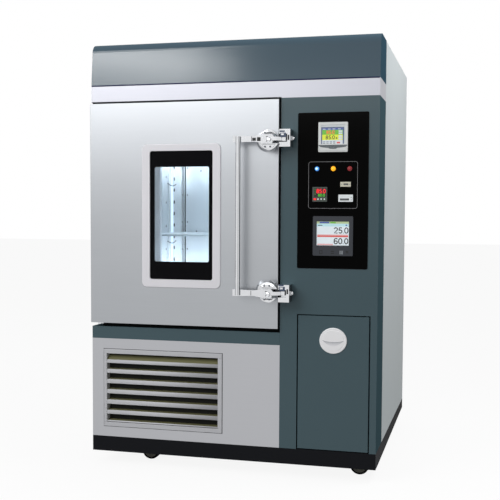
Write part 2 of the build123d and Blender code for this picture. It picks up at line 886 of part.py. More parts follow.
boiler_x = left + 520.0
boiler_y = front + 420.0
with BuildPart() as humidifier_boiler:
    with BuildSketch(Plane.XY.offset(z_tray)):
        with Locations((boiler_x, boiler_y)):
            Circle(58)
    extrude(amount=230)
    fillet(humidifier_boiler.edges().sort_by(Axis.Z)[-1], 26)
    with BuildSketch(Plane.XY.offset(z_tray)):
        with Locations((boiler_x, boiler_y)):
            Circle(16)
    extrude(amount=z_rail - z_tray)
    with BuildSketch(Plane.XY.offset(z_tray + 190)):
        with Locations((boiler_x, boiler_y)):
            Circle(64)
    extrude(amount=12)
save(humidifier_boiler, "humidifier_boiler")

# Water tank behind the service door, with a screw cap
tank_x0 = service_x0 + 6.0
tank_x1 = service_x1 - 36.0
tank_y0 = front + 70.0
tank_y1 = tank_y0 + 340.0
tank_high = 300.0
with BuildPart() as water_tank:
    with BuildSketch(Plane.XY.offset(z_tray)):
        with Locations(((tank_x0 + tank_x1) / 2, (tank_y0 + tank_y1) / 2)):
            RectangleRounded(tank_x1 - tank_x0, tank_y1 - tank_y0, 24)
    extrude(amount=tank_high)
    fillet(water_tank.edges().group_by(Axis.Z)[-1], 18)
    with BuildSketch(Plane.XY.offset(z_tray + tank_high)):
        with Locations(((tank_x0 + tank_x1) / 2, tank_y0 + 80)):
            RegularPolygon(34, 16)
    extrude(amount=22)
save(water_tank, "water_tank")

# Electrical plate on the partition, with breaker, relays and a terminal rail
plate_thick = 2.0
plate_y0 = front + 200.0
plate_y1 = front + 700.0
plate_z0 = z_sill + 60.0
plate_z1 = z_trim - 60.0
with BuildPart() as electrical_plate:
    with BuildSketch(from_left(foam_x1)):
        area(plate_y0, plate_y1, plate_z0, plate_z1)
    extrude(amount=plate_thick)
    for z_row, count, wide, high, deep in (
        (plate_z1 - 90, 5, 54, 84, 70),
        (plate_z1 - 260, 7, 40, 70, 62),
        (plate_z1 - 420, 4, 90, 96, 80),
        (plate_z0 + 70, 12, 20, 48, 40),
    ):
        with BuildSketch(from_left(foam_x1 + plate_thick)):
            with Locations(((plate_y0 + plate_y1) / 2, z_row)):
                with GridLocations((plate_y1 - plate_y0 - 60) / count, 1, count, 1):
                    Rectangle(wide * 0.9, high)
        extrude(amount=deep)
save(electrical_plate, "electrical_plate")

# Control panel: black plate on the column, holed for its instruments
panel_thick = 2.0
instrument_fit = 0.5
panel_face = front - panel_thick
controller = (left + 850.0, z_body + 1032.5, 96.0, 96.0)
recorder = (left + 852.5, z_body + 712.0, 132.0, 129.0)
regulator = (left + 808.0, z_body + 847.5, 49.0, 48.0)
meter = (left + 893.0, z_body + 835.0, 48.5, 24.0)
port_plate = (left + 892.0, z_body + 880.0, 35.0, 16.5)
lamp_spots = [(left + 798.0 + 53.7 * index, z_body + 930.5) for index in range(3)]
lamp_r = 8.0
lamp_stem_r = 5.5
flange_lap = 4.0


def instrument_hole(spot):
    """Opening behind an instrument's flange, a little larger than its body."""
    x, z, wide, high = spot
    with Locations((x, z)):
        Rectangle(
            wide - 2 * flange_lap + 2 * instrument_fit,
            high - 2 * flange_lap + 2 * instrument_fit,
            mode=Mode.SUBTRACT,
        )


def instrument(spot, deep, proud, corner):
    """Flange on the panel face and a body that reaches back through its hole."""
    x, z, wide, high = spot
    with BuildPart() as device:
        with BuildSketch(facing(panel_face)):
            with Locations((x, z)):
                RectangleRounded(wide, high, corner)
        extrude(amount=proud)
        with BuildSketch(facing(panel_face + deep)):
            with Locations((x, z)):
                Rectangle(wide - 2 * flange_lap, high - 2 * flange_lap)
        extrude(amount=deep)
    return device


with BuildPart() as control_panel:
    with BuildSketch(facing(front)):
        with Locations(((panel_x0 + panel_x1) / 2, (panel_z0 + panel_z1) / 2)):
            RectangleRounded(panel_x1 - panel_x0, panel_z1 - panel_z0, 5)
        for spot in (controller, recorder, regulator, meter, port_plate):
            instrument_hole(spot)
        with Locations(*lamp_spots):
            Circle(lamp_stem_r + instrument_fit, mode=Mode.SUBTRACT)
    extrude(amount=panel_thick)
save(control_panel, "control_panel")

# Controller with its window, and the small drop flap under the window
case_proud = 7.0
glass_deep = 1.5
flap_high = 15.0
flap_wide = 86.0
flap_thick = 2.0
flap_foot = controller[1] - controller[3] / 2 + 3.5
flap_pin_r = 1.0
controller_view = (controller[0], controller[1] + 8.5, 78.0, 62.0)
controller_body = instrument(controller, 90, case_proud, 3)
with BuildPart() as controller_case:
    add(controller_body.part)
    with BuildSketch(facing(panel_face - case_proud)):
        with Locations(controller_view[:2]):
            Rectangle(controller_view[2], controller_view[3])
    extrude(amount=-glass_deep, mode=Mode.SUBTRACT)
    with BuildSketch(facing(panel_face - case_proud)):
        with Locations((controller[0], flap_foot + flap_high / 2)):
            Rectangle(flap_wide + 1, flap_high + 1)
    extrude(amount=-(flap_thick + 0.5), mode=Mode.SUBTRACT)
save(controller_case, "controller_case")

with BuildPart() as controller_flap:
    with BuildSketch(facing(panel_face - case_proud + flap_thick)):
        with Locations((controller[0], flap_foot + flap_high / 2)):
            Rectangle(flap_wide, flap_high)
    extrude(amount=flap_thick)
    fillet(controller_flap.edges().filter_by(Axis.X).group_by(Axis.Z)[0], 0.9)
    with BuildSketch(facing(panel_face - case_proud)):
        with Locations((controller[0], flap_foot + flap_high - 2.5)):
            Rectangle(16, 3)
    extrude(amount=1)
save(controller_flap, "controller_flap")

recorder_view = (recorder[0], recorder[1] + 7.0, 107.0, 81.0)
recorder_body = instrument(recorder, 120, case_proud, 4)
with BuildPart() as recorder_case:
    add(recorder_body.part)
    with BuildSketch(facing(panel_face - case_proud)):
        with Locations(recorder_view[:2]):
            Rectangle(recorder_view[2], recorder_view[3])
    extrude(amount=-glass_deep, mode=Mode.SUBTRACT)
save(recorder_case, "recorder_case")

with BuildPart() as display_windows:
    for view in (controller_view, recorder_view):
        with BuildSketch(facing(panel_face - case_proud + glass_deep)):
            with Locations(view[:2]):
                Rectangle(view[2], view[3])
        extrude(amount=glass_deep - 0.3)
save(display_windows, "display_windows")

regulator_body = instrument(regulator, 70, 5, 2)
meter_body = instrument(meter, 40, 4, 2)
port_body = instrument(port_plate, 25, 2, 2)
with BuildPart() as panel_meters:
    add(regulator_body.part)
    add(meter_body.part)
    add(port_body.part)
    with BuildSketch(facing(panel_face - 2)):
        with Locations(port_plate[:2]):
            Rectangle(21, 5.5)
    extrude(amount=-12, mode=Mode.SUBTRACT)
save(panel_meters, "panel_meters")

with BuildPart() as indicator_lamps:
    with BuildSketch(facing(panel_face)):
        with Locations(*lamp_spots):
            Circle(lamp_r)
    extrude(amount=4)
    domes = indicator_lamps.edges().group_by(Axis.Y)[0]
    fillet(domes, 2.5)
    with BuildSketch(facing(panel_face + 34)):
        with Locations(*lamp_spots):
            Circle(lamp_stem_r)
    extrude(amount=34)
save(indicator_lamps, "indicator_lamps")

# Main door: folded skin, foam core, inner pan, gasket, window
window_x0 = left + 192.5
window_x1 = left + 473.0
window_z0 = z_body + 530.5
window_z1 = z_body + 1017.5
window_corner = 18.0
bezel_wide = 28.0
bezel_proud = 4.0
open_x0 = window_x0 + bezel_wide
open_x1 = window_x1 - bezel_wide
open_z0 = window_z0 + bezel_wide
open_z1 = window_z1 - 23.0
cut_lap = 9.0
cut = (
    window_x0 + cut_lap,
    window_x1 - cut_lap,
    window_z0 + cut_lap,
    window_z1 - cut_lap,
)
bush_half = hinge_inset - sheet
pin_reach = 30.0
plug_inset = 8.0
plug_deep = 16.0
pan_back = door_back
with BuildPart() as door_skin:
    with BuildSketch(facing(door_back)):
        area(door_x0, door_x1, door_z0, door_z1)
    extrude(amount=door_thick)
    with BuildSketch(facing(door_back)):
        area(door_x0 + sheet, door_x1 - sheet, door_z0 + sheet, door_z1 - sheet)
    extrude(amount=door_thick - sheet, mode=Mode.SUBTRACT)
    with BuildSketch(facing(door_back)):
        area(*cut)
    extrude(amount=door_thick, mode=Mode.SUBTRACT)
    upright = door_skin.edges().filter_by(Axis.Z).group_by(Axis.Y)[0]
    outer = [e for e in upright if abs(e.center().X - (door_x0 + door_x1) / 2) > 300]
    fillet(outer, 1.5)
    for z_door, way in ((door_z0, 1), (door_z1, -1)):
        with BuildSketch(Plane.XY.offset(min(z_door, z_door + way * (pin_reach + 10)))):
            with Locations((hinge_x, hinge_y)):
                Rectangle(2 * bush_half, 2 * bush_half)
        extrude(amount=pin_reach + 10)
        with BuildSketch(Plane.XY.offset(min(z_door, z_door + way * (pin_reach + 1)))):
            with Locations((hinge_x, hinge_y)):
                Circle(hinge_pin_r + running)
        extrude(amount=pin_reach + 1, mode=Mode.SUBTRACT)
save(door_skin, "door_skin")

with BuildPart() as door_foam:
    with BuildSketch(facing(pan_back - sheet)):
        area(door_x0 + sheet, door_x1 - sheet, door_z0 + sheet, door_z1 - sheet)
        area(*cut, mode=Mode.SUBTRACT)
    extrude(amount=door_thick - 2 * sheet)
    with BuildSketch(Plane.XY.offset(door_z0)):
        with Locations((hinge_x, hinge_y)):
            Rectangle(2 * hinge_inset, 2 * hinge_inset)
    extrude(amount=door_z1 - door_z0, mode=Mode.SUBTRACT)
save(door_foam, "door_foam")

with BuildPart() as door_pan:
    with BuildSketch(facing(pan_back)):
        area(door_x0 + sheet, door_x1 - sheet, door_z0 + sheet, door_z1 - sheet)
    extrude(amount=sheet)
    with BuildSketch(facing(pan_back)):
        area(
            cham_x0 + plug_inset,
            cham_x1 - plug_inset,
            cham_z0 + plug_inset,
            cham_z1 - plug_inset,
        )
    extrude(amount=-(gasket_thick + plug_deep), taper=3)
    with BuildSketch(facing(pan_back + gasket_thick + plug_deep)):
        area(*cut)
    extrude(amount=gasket_thick + plug_deep + sheet, mode=Mode.SUBTRACT)
    with BuildSketch(Plane.XY.offset(door_z0)):
        with Locations((hinge_x, hinge_y)):
            Rectangle(2 * hinge_inset, 2 * hinge_inset)
    extrude(amount=door_z1 - door_z0, mode=Mode.SUBTRACT)
save(door_pan, "door_pan")

gasket_out = 34.0
gasket_wide = 26.0
with BuildPart() as door_gasket:
    with BuildSketch(facing(door_back + gasket_thick)):
        area(
            cham_x0 - gasket_out,
            cham_x1 + gasket_out,
            cham_z0 - gasket_out,
            cham_z1 + gasket_out,
        )
        area(
            cham_x0 - gasket_out + gasket_wide,
            cham_x1 + gasket_out - gasket_wide,
            cham_z0 - gasket_out + gasket_wide,
            cham_z1 + gasket_out - gasket_wide,
            mode=Mode.SUBTRACT,
        )
    extrude(amount=gasket_thick)
save(door_gasket, "door_gasket")

# Window: moulded frame on the skin with a liner through the door, and two panes
pane_thick = 6.0
pane_y = door_front + 2.0
liner_back = pan_back + gasket_thick + plug_deep
with BuildPart() as window_frame:
    with BuildSketch(facing(door_front)):
        with Locations(((window_x0 + window_x1) / 2, (window_z0 + window_z1) / 2)):
            RectangleRounded(window_x1 - window_x0, window_z1 - window_z0, window_corner)
    extrude(amount=bezel_proud)
    with BuildSketch(facing(liner_back)):
        area(cut[0] + seam, cut[1] - seam, cut[2] + seam, cut[3] - seam)
    extrude(amount=liner_back - door_front)
    with BuildSketch(facing(liner_back)):
        with Locations(((open_x0 + open_x1) / 2, (open_z0 + open_z1) / 2)):
            RectangleRounded(open_x1 - open_x0, open_z1 - open_z0, 8)
    extrude(amount=liner_back - door_front + bezel_proud, mode=Mode.SUBTRACT)
    crown = window_frame.faces().sort_by(Axis.Y)[0].outer_wire().edges()
    fillet(crown, 2.5)
save(window_frame, "window_frame")

with BuildPart() as window_glass:
    for y_pane in (pane_y, liner_back - 24.0):
        with BuildSketch(facing(y_pane + pane_thick)):
            with Locations(((open_x0 + open_x1) / 2, (open_z0 + open_z1) / 2)):
                RectangleRounded(open_x1 - open_x0, open_z1 - open_z0, 8)
        extrude(amount=pane_thick)
save(window_glass, "window_glass")

# Hinge: pins on brackets bolted to the sill and under the trim, bushes in the door
with BuildPart() as hinge_brackets:
    for z_seat, z_door, way in ((z_sill, door_z0, 1), (z_trim, door_z1, -1)):
        z_low = min(z_seat, z_door - way * 1.5)
        with BuildSketch(Plane.XY.offset(z_low)):
            area(left + sheet, left + 90, hinge_y - 14, frame_face)
        extrude(amount=abs(z_door - z_seat) - 1.5)
        z_pin = min(z_seat, z_door + way * pin_reach)
        with BuildSketch(Plane.XY.offset(z_pin)):
            with Locations((hinge_x, hinge_y)):
                Circle(hinge_pin_r)
        extrude(amount=abs(z_door - z_seat) + pin_reach)
save(hinge_brackets, "hinge_brackets")

# Latches: a round base with two ears carries each lever on a pin
latch_zs = [z_sill + latch_low, z_sill + latch_low + latch_pitch]
pivot_x = door_x1 - pivot_inset
lever_y = front - 50.0
lever_thick = 16.0
nose_y = front - 38.0
nose_reach = 56.0
nose_thick = 11.0
nose_half = 6.0
base_r = 36.0
base_x = door_x1 - 38.0
base_lifts = [7.0, -3.5]
base_deep = 17.0
ear_thick = 5.0
pin_r = 4.0
arm_half = 14.0
bar_x = left + 546.0
bar_y = front - bar_stand
with BuildPart() as latch_bases:
    for z_latch, lift in zip(latch_zs, base_lifts):
        with BuildSketch(facing(door_front)):
            with Locations((base_x, z_latch + lift)):
                Circle(base_r)
        extrude(amount=4)
        with BuildSketch(facing(door_front - 4)):
            with Locations((base_x, z_latch + lift)):
                Circle(base_r)
        extrude(amount=base_deep - 4, taper=34)
        ear_y = lever_y - lever_thick / 2
        for way in (-1, 1):
            z_ear = z_latch + (arm_half + seam if way > 0 else -arm_half - seam - ear_thick)
            with BuildSketch(Plane.XY.offset(z_ear)):
                with Locations((pivot_x - 4, (door_front + ear_y) / 2)):
                    Rectangle(24, door_front - ear_y)
            extrude(amount=ear_thick)
        with BuildSketch(Plane.XY.offset(z_latch - arm_half - seam - ear_thick)):
            with Locations((pivot_x, lever_y)):
                Circle(pin_r)
        extrude(amount=2 * (arm_half + seam + ear_thick))
        with BuildSketch(facing(door_front - 4)):
            area(
                pivot_x - 12,
                base_x + base_r,
                z_latch - nose_half - 2,
                z_latch + nose_half + 2,
            )
        extrude(amount=base_deep - 4, mode=Mode.SUBTRACT)
save(latch_bases, "latch_bases")

arm_end = bar_x - 18.0
with BuildPart() as latch_handle:
    for z_latch in latch_zs:
        with BuildSketch(facing(lever_y + lever_thick / 2)):
            with BuildLine():
                Polyline(
                    (arm_end, z_latch - 11),
                    (arm_end, z_latch + 11),
                    (pivot_x - 48, z_latch + 9),
                    (pivot_x - 24, z_latch + arm_half),
                    (pivot_x + 10, z_latch + arm_half),
                    (pivot_x + 16, z_latch + nose_half),
                    (pivot_x + 16, z_latch - nose_half),
                    (pivot_x + 10, z_latch - arm_half),
                    (pivot_x - 24, z_latch - arm_half),
                    (pivot_x - 48, z_latch - 9),
                    close=True,
                )
            make_face()
        extrude(amount=lever_thick)
        with BuildSketch(Plane.XY.offset(z_latch - nose_half)):
            with BuildLine():
                Polyline(
                    (pivot_x + 10, lever_y - lever_thick / 2),
                    (pivot_x + 26, lever_y - lever_thick / 2),
                    (pivot_x + 40, nose_y - nose_thick / 2),
                    (pivot_x + nose_reach - 4, nose_y - nose_thick / 2),
                    (pivot_x + nose_reach, nose_y),
                    (pivot_x + nose_reach - 4, nose_y + nose_thick / 2),
                    (pivot_x + 30, nose_y + nose_thick / 2),
                    (pivot_x + 10, lever_y + lever_thick / 2),
                    close=True,
                )
            make_face()
        extrude(amount=2 * nose_half)
        with BuildSketch(Plane.XY.offset(z_latch - arm_half)):
            with Locations((pivot_x, lever_y)):
                Circle(pin_r + running)
        extrude(amount=2 * arm_half, mode=Mode.SUBTRACT)
    with BuildSketch(Plane.XY.offset(latch_zs[0] - 8)):
        with Locations((bar_x, bar_y)):
            Circle(bar_r)
    extrude(amount=latch_pitch + 16)
save(latch_handle, "latch_handle")

# Strikes on the column: open to the door and to the front, so the nose swings out
strike_x0 = pivot_x + 31.0
strike_x1 = strike_x0 + 37.0
strike_half = 28.5
strike_deep = 48.0
strike_lifts = [0.0, 3.0]
lip = 10.0
with BuildPart() as latch_strikes:
    for z_latch, lift in zip(latch_zs, strike_lifts):
        z_mid = z_latch + lift
        with BuildSketch(Plane.XY.offset(z_mid - strike_half)):
            area(strike_x0, strike_x1, front - strike_deep, front)
        extrude(amount=2 * strike_half)
        with BuildSketch(Plane.XY.offset(z_mid - 13)):
            area(strike_x0, strike_x1 - lip, front - strike_deep, front - 4)
        extrude(amount=26, mode=Mode.SUBTRACT)
        with BuildSketch(from_left(strike_x1)):
            with Locations((front - strike_deep / 2, z_mid)):
                RegularPolygon(8, 6)
        extrude(amount=4)
        with BuildSketch(from_left(strike_x1 + 4)):
            with Locations((front - strike_deep / 2, z_mid)):
                Circle(6)
        extrude(amount=6)
    domes = latch_strikes.edges().filter_by(GeomType.CIRCLE).group_by(Axis.X)[-1]
    fillet(domes, 4)
save(latch_strikes, "latch_strikes")

# Service door: shallow pan hung on two pins at its right side
door2_x0 = service_x0 + service_gap
door2_x1 = service_x1 - service_gap
door2_z0 = z_body + service_gap
door2_z1 = service_z1 - service_gap
door2_thick = 20.0
pull_x = (service_x0 + service_x1) / 2
pull_z = z_body + 368.0
pull_r = 46.0
crescent_r = 37.3
crescent_lift = 15.3
lip_r = 76.2
lip_drop = 8.0
cup_r = 34.0
cup_deep = 15.0
with BuildPart() as service_door:
    with BuildSketch(facing(front + door2_thick)):
        area(door2_x0, door2_x1, door2_z0, door2_z1)
    extrude(amount=door2_thick)
    fillet(service_door.edges().filter_by(Axis.Z).group_by(Axis.Y)[0], 2.5)
    with BuildSketch(facing(front + door2_thick)):
        area(door2_x0 + 14, door2_x1 - 14, door2_z0 + 14, door2_z1 - 14)
    extrude(amount=door2_thick - sheet, mode=Mode.SUBTRACT)
    with BuildSketch(facing(front + sheet)):
        with Locations((pull_x, pull_z)):
            Circle(cup_r + 3)
    extrude(amount=sheet, mode=Mode.SUBTRACT)
    with BuildSketch(Plane.XY.offset(door2_z0 - service_gap + seam)):
        with Locations((pivot2_x, pivot2_y)):
            Circle(pin2_r)
    extrude(amount=service_gap + 1)
    with BuildSketch(Plane.XY.offset(door2_z1 - 1)):
        with Locations((pivot2_x, pivot2_y)):
            Circle(pin2_r)
    extrude(amount=service_gap + 6)
save(service_door, "service_door")

# Flush pull: round bezel, lower cup for the fingers, crescent shade above it
with BuildPart() as pull_cup:
    with BuildSketch(facing(front)):
        with Locations((pull_x, pull_z)):
            Circle(pull_r)
    extrude(amount=4)
    fillet(pull_cup.edges().sort_by(Axis.Y)[0], 2.5)
    with BuildSketch(facing(front + cup_deep)):
        with Locations((pull_x, pull_z)):
            Circle(cup_r + 2)
    extrude(amount=cup_deep)
    with BuildSketch(facing(front + cup_deep - 2)):
        with Locations((pull_x, pull_z + crescent_lift)):
            Circle(crescent_r)
        with Locations((pull_x, pull_z + lip_r - lip_drop)):
            Circle(lip_r, mode=Mode.SUBTRACT)
    extrude(amount=cup_deep + 4, mode=Mode.SUBTRACT)
save(pull_cup, "pull_cup")
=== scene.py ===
import math

import bmesh
import bpy
from mathutils import Matrix, Vector


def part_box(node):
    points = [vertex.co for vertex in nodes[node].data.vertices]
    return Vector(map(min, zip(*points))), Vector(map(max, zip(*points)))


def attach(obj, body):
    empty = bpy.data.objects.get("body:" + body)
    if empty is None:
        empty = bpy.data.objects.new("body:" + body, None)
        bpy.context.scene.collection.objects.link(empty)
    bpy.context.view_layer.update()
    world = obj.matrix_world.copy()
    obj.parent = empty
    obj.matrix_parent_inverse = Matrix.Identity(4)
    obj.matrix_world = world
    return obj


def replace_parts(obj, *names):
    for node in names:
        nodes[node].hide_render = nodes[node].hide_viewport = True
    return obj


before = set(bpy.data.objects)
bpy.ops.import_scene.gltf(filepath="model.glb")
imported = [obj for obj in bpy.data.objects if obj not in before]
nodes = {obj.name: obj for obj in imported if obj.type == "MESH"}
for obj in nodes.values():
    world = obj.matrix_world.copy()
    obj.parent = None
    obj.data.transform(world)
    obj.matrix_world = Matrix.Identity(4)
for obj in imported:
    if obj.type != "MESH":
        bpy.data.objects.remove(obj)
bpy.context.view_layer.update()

print("frame loaded:", len(nodes), "nodes")


# Camera

cameraSet = {
    "place": (0.8362, -3.2977, 0.8613),   # metres in the part's frame
    "yaw": 13.878,                        # degrees to the left of straight ahead
    "pitch": -3.147,
    "roll": 0.352,
    "picture": 500,                       # pixels across
    "focal": 882.4,                       # in those pixels
    "centre": (267.5, 268.1),             # where the optical axis meets the picture
    "sensor": 36,                         # mm
}


def makeCamera():
    yaw, pitch, roll = (math.radians(cameraSet[k]) for k in ("yaw", "pitch", "roll"))
    ahead = Vector((-math.sin(yaw) * math.cos(pitch), math.cos(yaw) * math.cos(pitch), math.sin(pitch)))
    side = Vector((math.cos(yaw), math.sin(yaw), 0))
    up = side.cross(ahead)
    right = side * math.cos(roll) + up * math.sin(roll)
    top = up * math.cos(roll) - side * math.sin(roll)
    turn = Matrix((right, top, -ahead)).transposed().to_4x4()
    wide, (acrossAxis, downAxis) = cameraSet["picture"], cameraSet["centre"]
    data = bpy.data.cameras.new("viewCamera")
    data.sensor_width = cameraSet["sensor"]
    data.lens = cameraSet["focal"] / wide * cameraSet["sensor"]
    data.shift_x = (wide / 2 - acrossAxis) / wide
    data.shift_y = (downAxis - wide / 2) / wide
    camera = bpy.data.objects.new("viewCamera", data)
    camera.matrix_world = Matrix.Translation(cameraSet["place"]) @ turn
    bpy.context.collection.objects.link(camera)
    bpy.context.scene.camera = camera


makeCamera()
print("camera set")


# Shader wiring: a socket that takes part in plain arithmetic, and a finish that makes the nodes

class Wire:
    def __init__(self, tree, socket):
        self.tree = tree
        self.socket = socket

    def maths(self, operation, first, second=None):
        made = self.tree.nodes.new("ShaderNodeMath")
        made.operation = operation
        for slot, value in zip(made.inputs, (first, second)):
            if isinstance(value, Wire):
                self.tree.links.new(value.socket, slot)
            elif value is not None:
                slot.default_value = value
        return Wire(self.tree, made.outputs[0])

    def __add__(self, other):
        return self.maths("ADD", self, other)

    def __sub__(self, other):
        return self.maths("SUBTRACT", self, other)

    def __rsub__(self, other):
        return self.maths("SUBTRACT", other, self)

    def __mul__(self, other):
        return self.maths("MULTIPLY", self, other)

    def __truediv__(self, other):
        return self.maths("DIVIDE", self, other)

    def __rtruediv__(self, other):
        return self.maths("DIVIDE", other, self)

    def __gt__(self, other):
        return self.maths("GREATER_THAN", self, other)

    def __lt__(self, other):
        return self.maths("LESS_THAN", self, other)

    def atMost(self, other):
        return self.maths("MINIMUM", self, other)

    def atLeast(self, other):
        return self.maths("MAXIMUM", self, other)

    def size(self):
        return self.maths("ABSOLUTE", self)

    __radd__, __rmul__ = __add__, __mul__


class Finish:
    def __init__(self, owner, out="ShaderNodeOutputMaterial"):
        self.owner = owner                # a material or the world
        self.owner.use_nodes = True
        self.tree = owner.node_tree
        self.tree.nodes.clear()
        self.out = self.tree.nodes.new(out)

    def node(self, kind, settings=None, values=None, out=0):
        made = self.tree.nodes.new(kind)
        for key, value in (settings or {}).items():
            setattr(made, key, value)
        for key, value in (values or {}).items():
            if isinstance(value, Wire):
                self.tree.links.new(value.socket, made.inputs[key])
            else:
                made.inputs[key].default_value = value
        return Wire(self.tree, made.outputs[out])

    def axes(self, kind):
        # x, y and z of one output of Texture Coordinate
        vector = self.node("ShaderNodeTexCoord", out=kind)
        split = self.node("ShaderNodeSeparateXYZ", values={"Vector": vector}).socket.node
        return [Wire(self.tree, socket) for socket in split.outputs]

    def frontness(self):
        # 1 where the surface faces the front, 0 where it faces aside or back
        return (self.axes("Normal")[1] * -1).atLeast(0)

    def seen(self):
        # 1 for the rays that show the background: straight, in metal or through glass
        rays = self.node("ShaderNodeLightPath").socket.node.outputs
        straight, inMetal, inGlass = (
            Wire(self.tree, rays[f"Is {kind} Ray"]) for kind in ("Camera", "Glossy", "Transmission")
        )
        return straight.atLeast(inMetal).atLeast(inGlass)

    def fade(self, value, low, high, first, second):
        return self.node(
            "ShaderNodeMapRange",
            {"interpolation_type": "SMOOTHSTEP"},
            {"Value": value, "From Min": low, "From Max": high, "To Min": first, "To Max": second},
        )

    def noise(self, scale, stretch=(1, 1, 1), detail=3.0):
        spot = self.node("ShaderNodeTexCoord", out="Object")
        bent = self.node("ShaderNodeMapping", values={"Vector": spot, "Scale": stretch})
        return self.node(
            "ShaderNodeTexNoise",
            values={"Vector": bent, "Scale": scale, "Detail": detail, "Roughness": 0.5},
        )

    def blend(self, factor, first, second):
        mixed = self.node("ShaderNodeMix", {"data_type": "RGBA"}, {"Factor": factor}).socket.node
        colourSlots = [s for s in mixed.inputs if s.type == "RGBA"]
        for slot, value in zip(colourSlots, (first, second)):
            if isinstance(value, Wire):
                self.tree.links.new(value.socket, slot)
            else:
                slot.default_value = (*value[:3], 1)
        return Wire(self.tree, next(s for s in mixed.outputs if s.type == "RGBA"))

    def bump(self, height, strength, distance):
        return self.node(
            "ShaderNodeBump",
            values={"Height": height, "Strength": strength, "Distance": distance},
        )

    def mix(self, factor, first, second):
        return self.node("ShaderNodeMixShader", values={0: factor, 1: first, 2: second})

    def surface(self, **values):
        words = {key.replace("_", " "): value for key, value in values.items()}
        return self.node("ShaderNodeBsdfPrincipled", values=words)

    def done(self, shader):
        self.tree.links.new(shader.socket, self.out.inputs["Surface"])
        return self.owner


def newFinish(name):
    return Finish(bpy.data.materials.new(name))


def grey(level):
    return (level, level, level, 1)


def fromScreen(red, green, blue):
    # linear colour from 0-255 screen values
    line = [v / 255 for v in (red, green, blue)]
    line = [v / 12.92 if v <= 0.04045 else ((v + 0.055) / 1.055) ** 2.4 for v in line]
    return (*line, 1)


def scaled(colour, part):
    return [min(1, c * part) for c in colour[:3]]


# Finishes. Colours are screen values; peel, pores and line depths are metres

steelSet = {"fine": 4, "cross": 260, "along": 1.5, "dark": 0.86, "grain": 0.06, "cloud": 0.05, "depth": 0.0004}


def brushedSteel(name, colour, line="x", rough=0.3):
    # rolled or brushed metal with its fine lines along one axis
    made = newFinish(name)
    stretch = [steelSet["along"] if axis == line else steelSet["cross"] for axis in "xyz"]
    fine = made.noise(steelSet["fine"], stretch, 4)
    broad = made.noise(2.5, detail=2)
    colour = fromScreen(*colour)
    tone = made.blend(fine * 0.5 + broad * 0.3, scaled(colour, steelSet["dark"]), colour)
    level = rough - 0.04 + fine * steelSet["grain"] + broad * steelSet["cloud"]
    lines = made.bump(fine, 0.05, steelSet["depth"])
    return made.done(made.surface(Base_Color=tone, Metallic=1.0, Roughness=level, Normal=lines))


paintSet = {"peel": 420, "peelDepth": 0.00012, "spread": 0.05}


def paint(name, colour, rough=0.5, coat=0.0, coatRough=0.15, shine=0.3):
    made = newFinish(name)
    peel = made.noise(paintSet["peel"], detail=2)
    cloud = made.noise(3.0)
    colour, spread = fromScreen(*colour), paintSet["spread"]
    tone = made.blend(cloud, scaled(colour, 1 - spread), scaled(colour, 1 + spread))
    skin = made.bump(peel, 0.25, paintSet["peelDepth"])
    if coat:
        coat = made.frontness() * made.frontness() * coat
    return made.done(made.surface(
        Base_Color=tone, Roughness=rough - 0.03 + cloud * 0.06, Normal=skin,
        Specular_IOR_Level=shine, Coat_Weight=coat, Coat_Roughness=coatRough,
    ))


plinthSet = {
    # near holds the black paint's own tones; far is the colour of the painted shade at the rear
    "near": ((30, 31, 34), (33, 34, 37)),
    "far": (2, 4, 6),
    "depth": (-0.44, 0.4),                # where the painted rear shade starts and ends, m
    "rearShadeMost": 0.97,
    "shine": 0.006,
}


def plinthFinish(name):
    # black paint with a painted shade that grows darker towards the rear
    made = newFinish(name)
    cloud = made.noise(3.0)
    skin = made.bump(made.noise(paintSet["peel"], detail=2), 0.25, paintSet["peelDepth"])
    near = made.blend(cloud, *(fromScreen(*c) for c in plinthSet["near"]))
    rearShade = made.fade(made.axes("Object")[1], *plinthSet["depth"], 0.0, plinthSet["rearShadeMost"])
    tone = made.blend(rearShade, near, fromScreen(*plinthSet["far"]))
    return made.done(made.surface(
        Base_Color=tone, Roughness=0.48 + cloud * 0.05, Normal=skin, Specular_IOR_Level=plinthSet["shine"],
    ))


plasticSet = {"pores": 900, "poreDepth": 0.0001, "dark": 0.94}


def plastic(name, colour, rough=0.35, grain=0.1, shine=0.4):
    made = newFinish(name)
    pores = made.noise(plasticSet["pores"], detail=2)
    cloud = made.noise(8, detail=2)
    colour = fromScreen(*colour)
    tone = made.blend(cloud, scaled(colour, plasticSet["dark"]), colour)
    skin = made.bump(pores, grain, plasticSet["poreDepth"])
    return made.done(made.surface(
        Base_Color=tone, Roughness=rough - 0.02 + cloud * 0.04, Normal=skin, Specular_IOR_Level=shine,
    ))


# The levels below paint a round bar's reflection into the plating's colour, by the way each surface faces
chromeSet = {
    "dark": (0.12, 0.13, 0.14),
    "light": ((0.66, 0.67, 0.69), (0.78, 0.79, 0.81)),
    "paintedLeftEdge": (-0.6, -0.2, 0.6, 1.0),   # side part of the normal from, to; level from, to
    "paintedLineIn": (0.2, 0.34, 0.0, 0.6),
    "paintedLineOut": (0.48, 0.6, 1.0, 0.0),
    "paintedRightEdge": (0.7, 0.84, 1.0, 0.1),
    "back": (0.3, 0.55, 0.0, 1.0),
}


def chrome(name):
    # bright plating with a painted reflection: dark edges and a dark line painted where the normal turns aside, as a
    # round bar shows them, and a light back
    made = newFinish(name)
    haze = made.noise(30)
    light = made.blend(haze, *chromeSet["light"])
    side, back, _ = made.axes("Normal")
    line = made.fade(side, *chromeSet["paintedLineIn"]) * made.fade(side, *chromeSet["paintedLineOut"])
    level = made.fade(side, *chromeSet["paintedLeftEdge"]) * made.fade(side, *chromeSet["paintedRightEdge"]) * (1 - line)
    level = level.atLeast(made.fade(back, *chromeSet["back"]))
    tone = made.blend(level, chromeSet["dark"], light)
    return made.done(made.surface(Base_Color=tone, Metallic=1.0, Roughness=haze * 0.06 + 0.06))


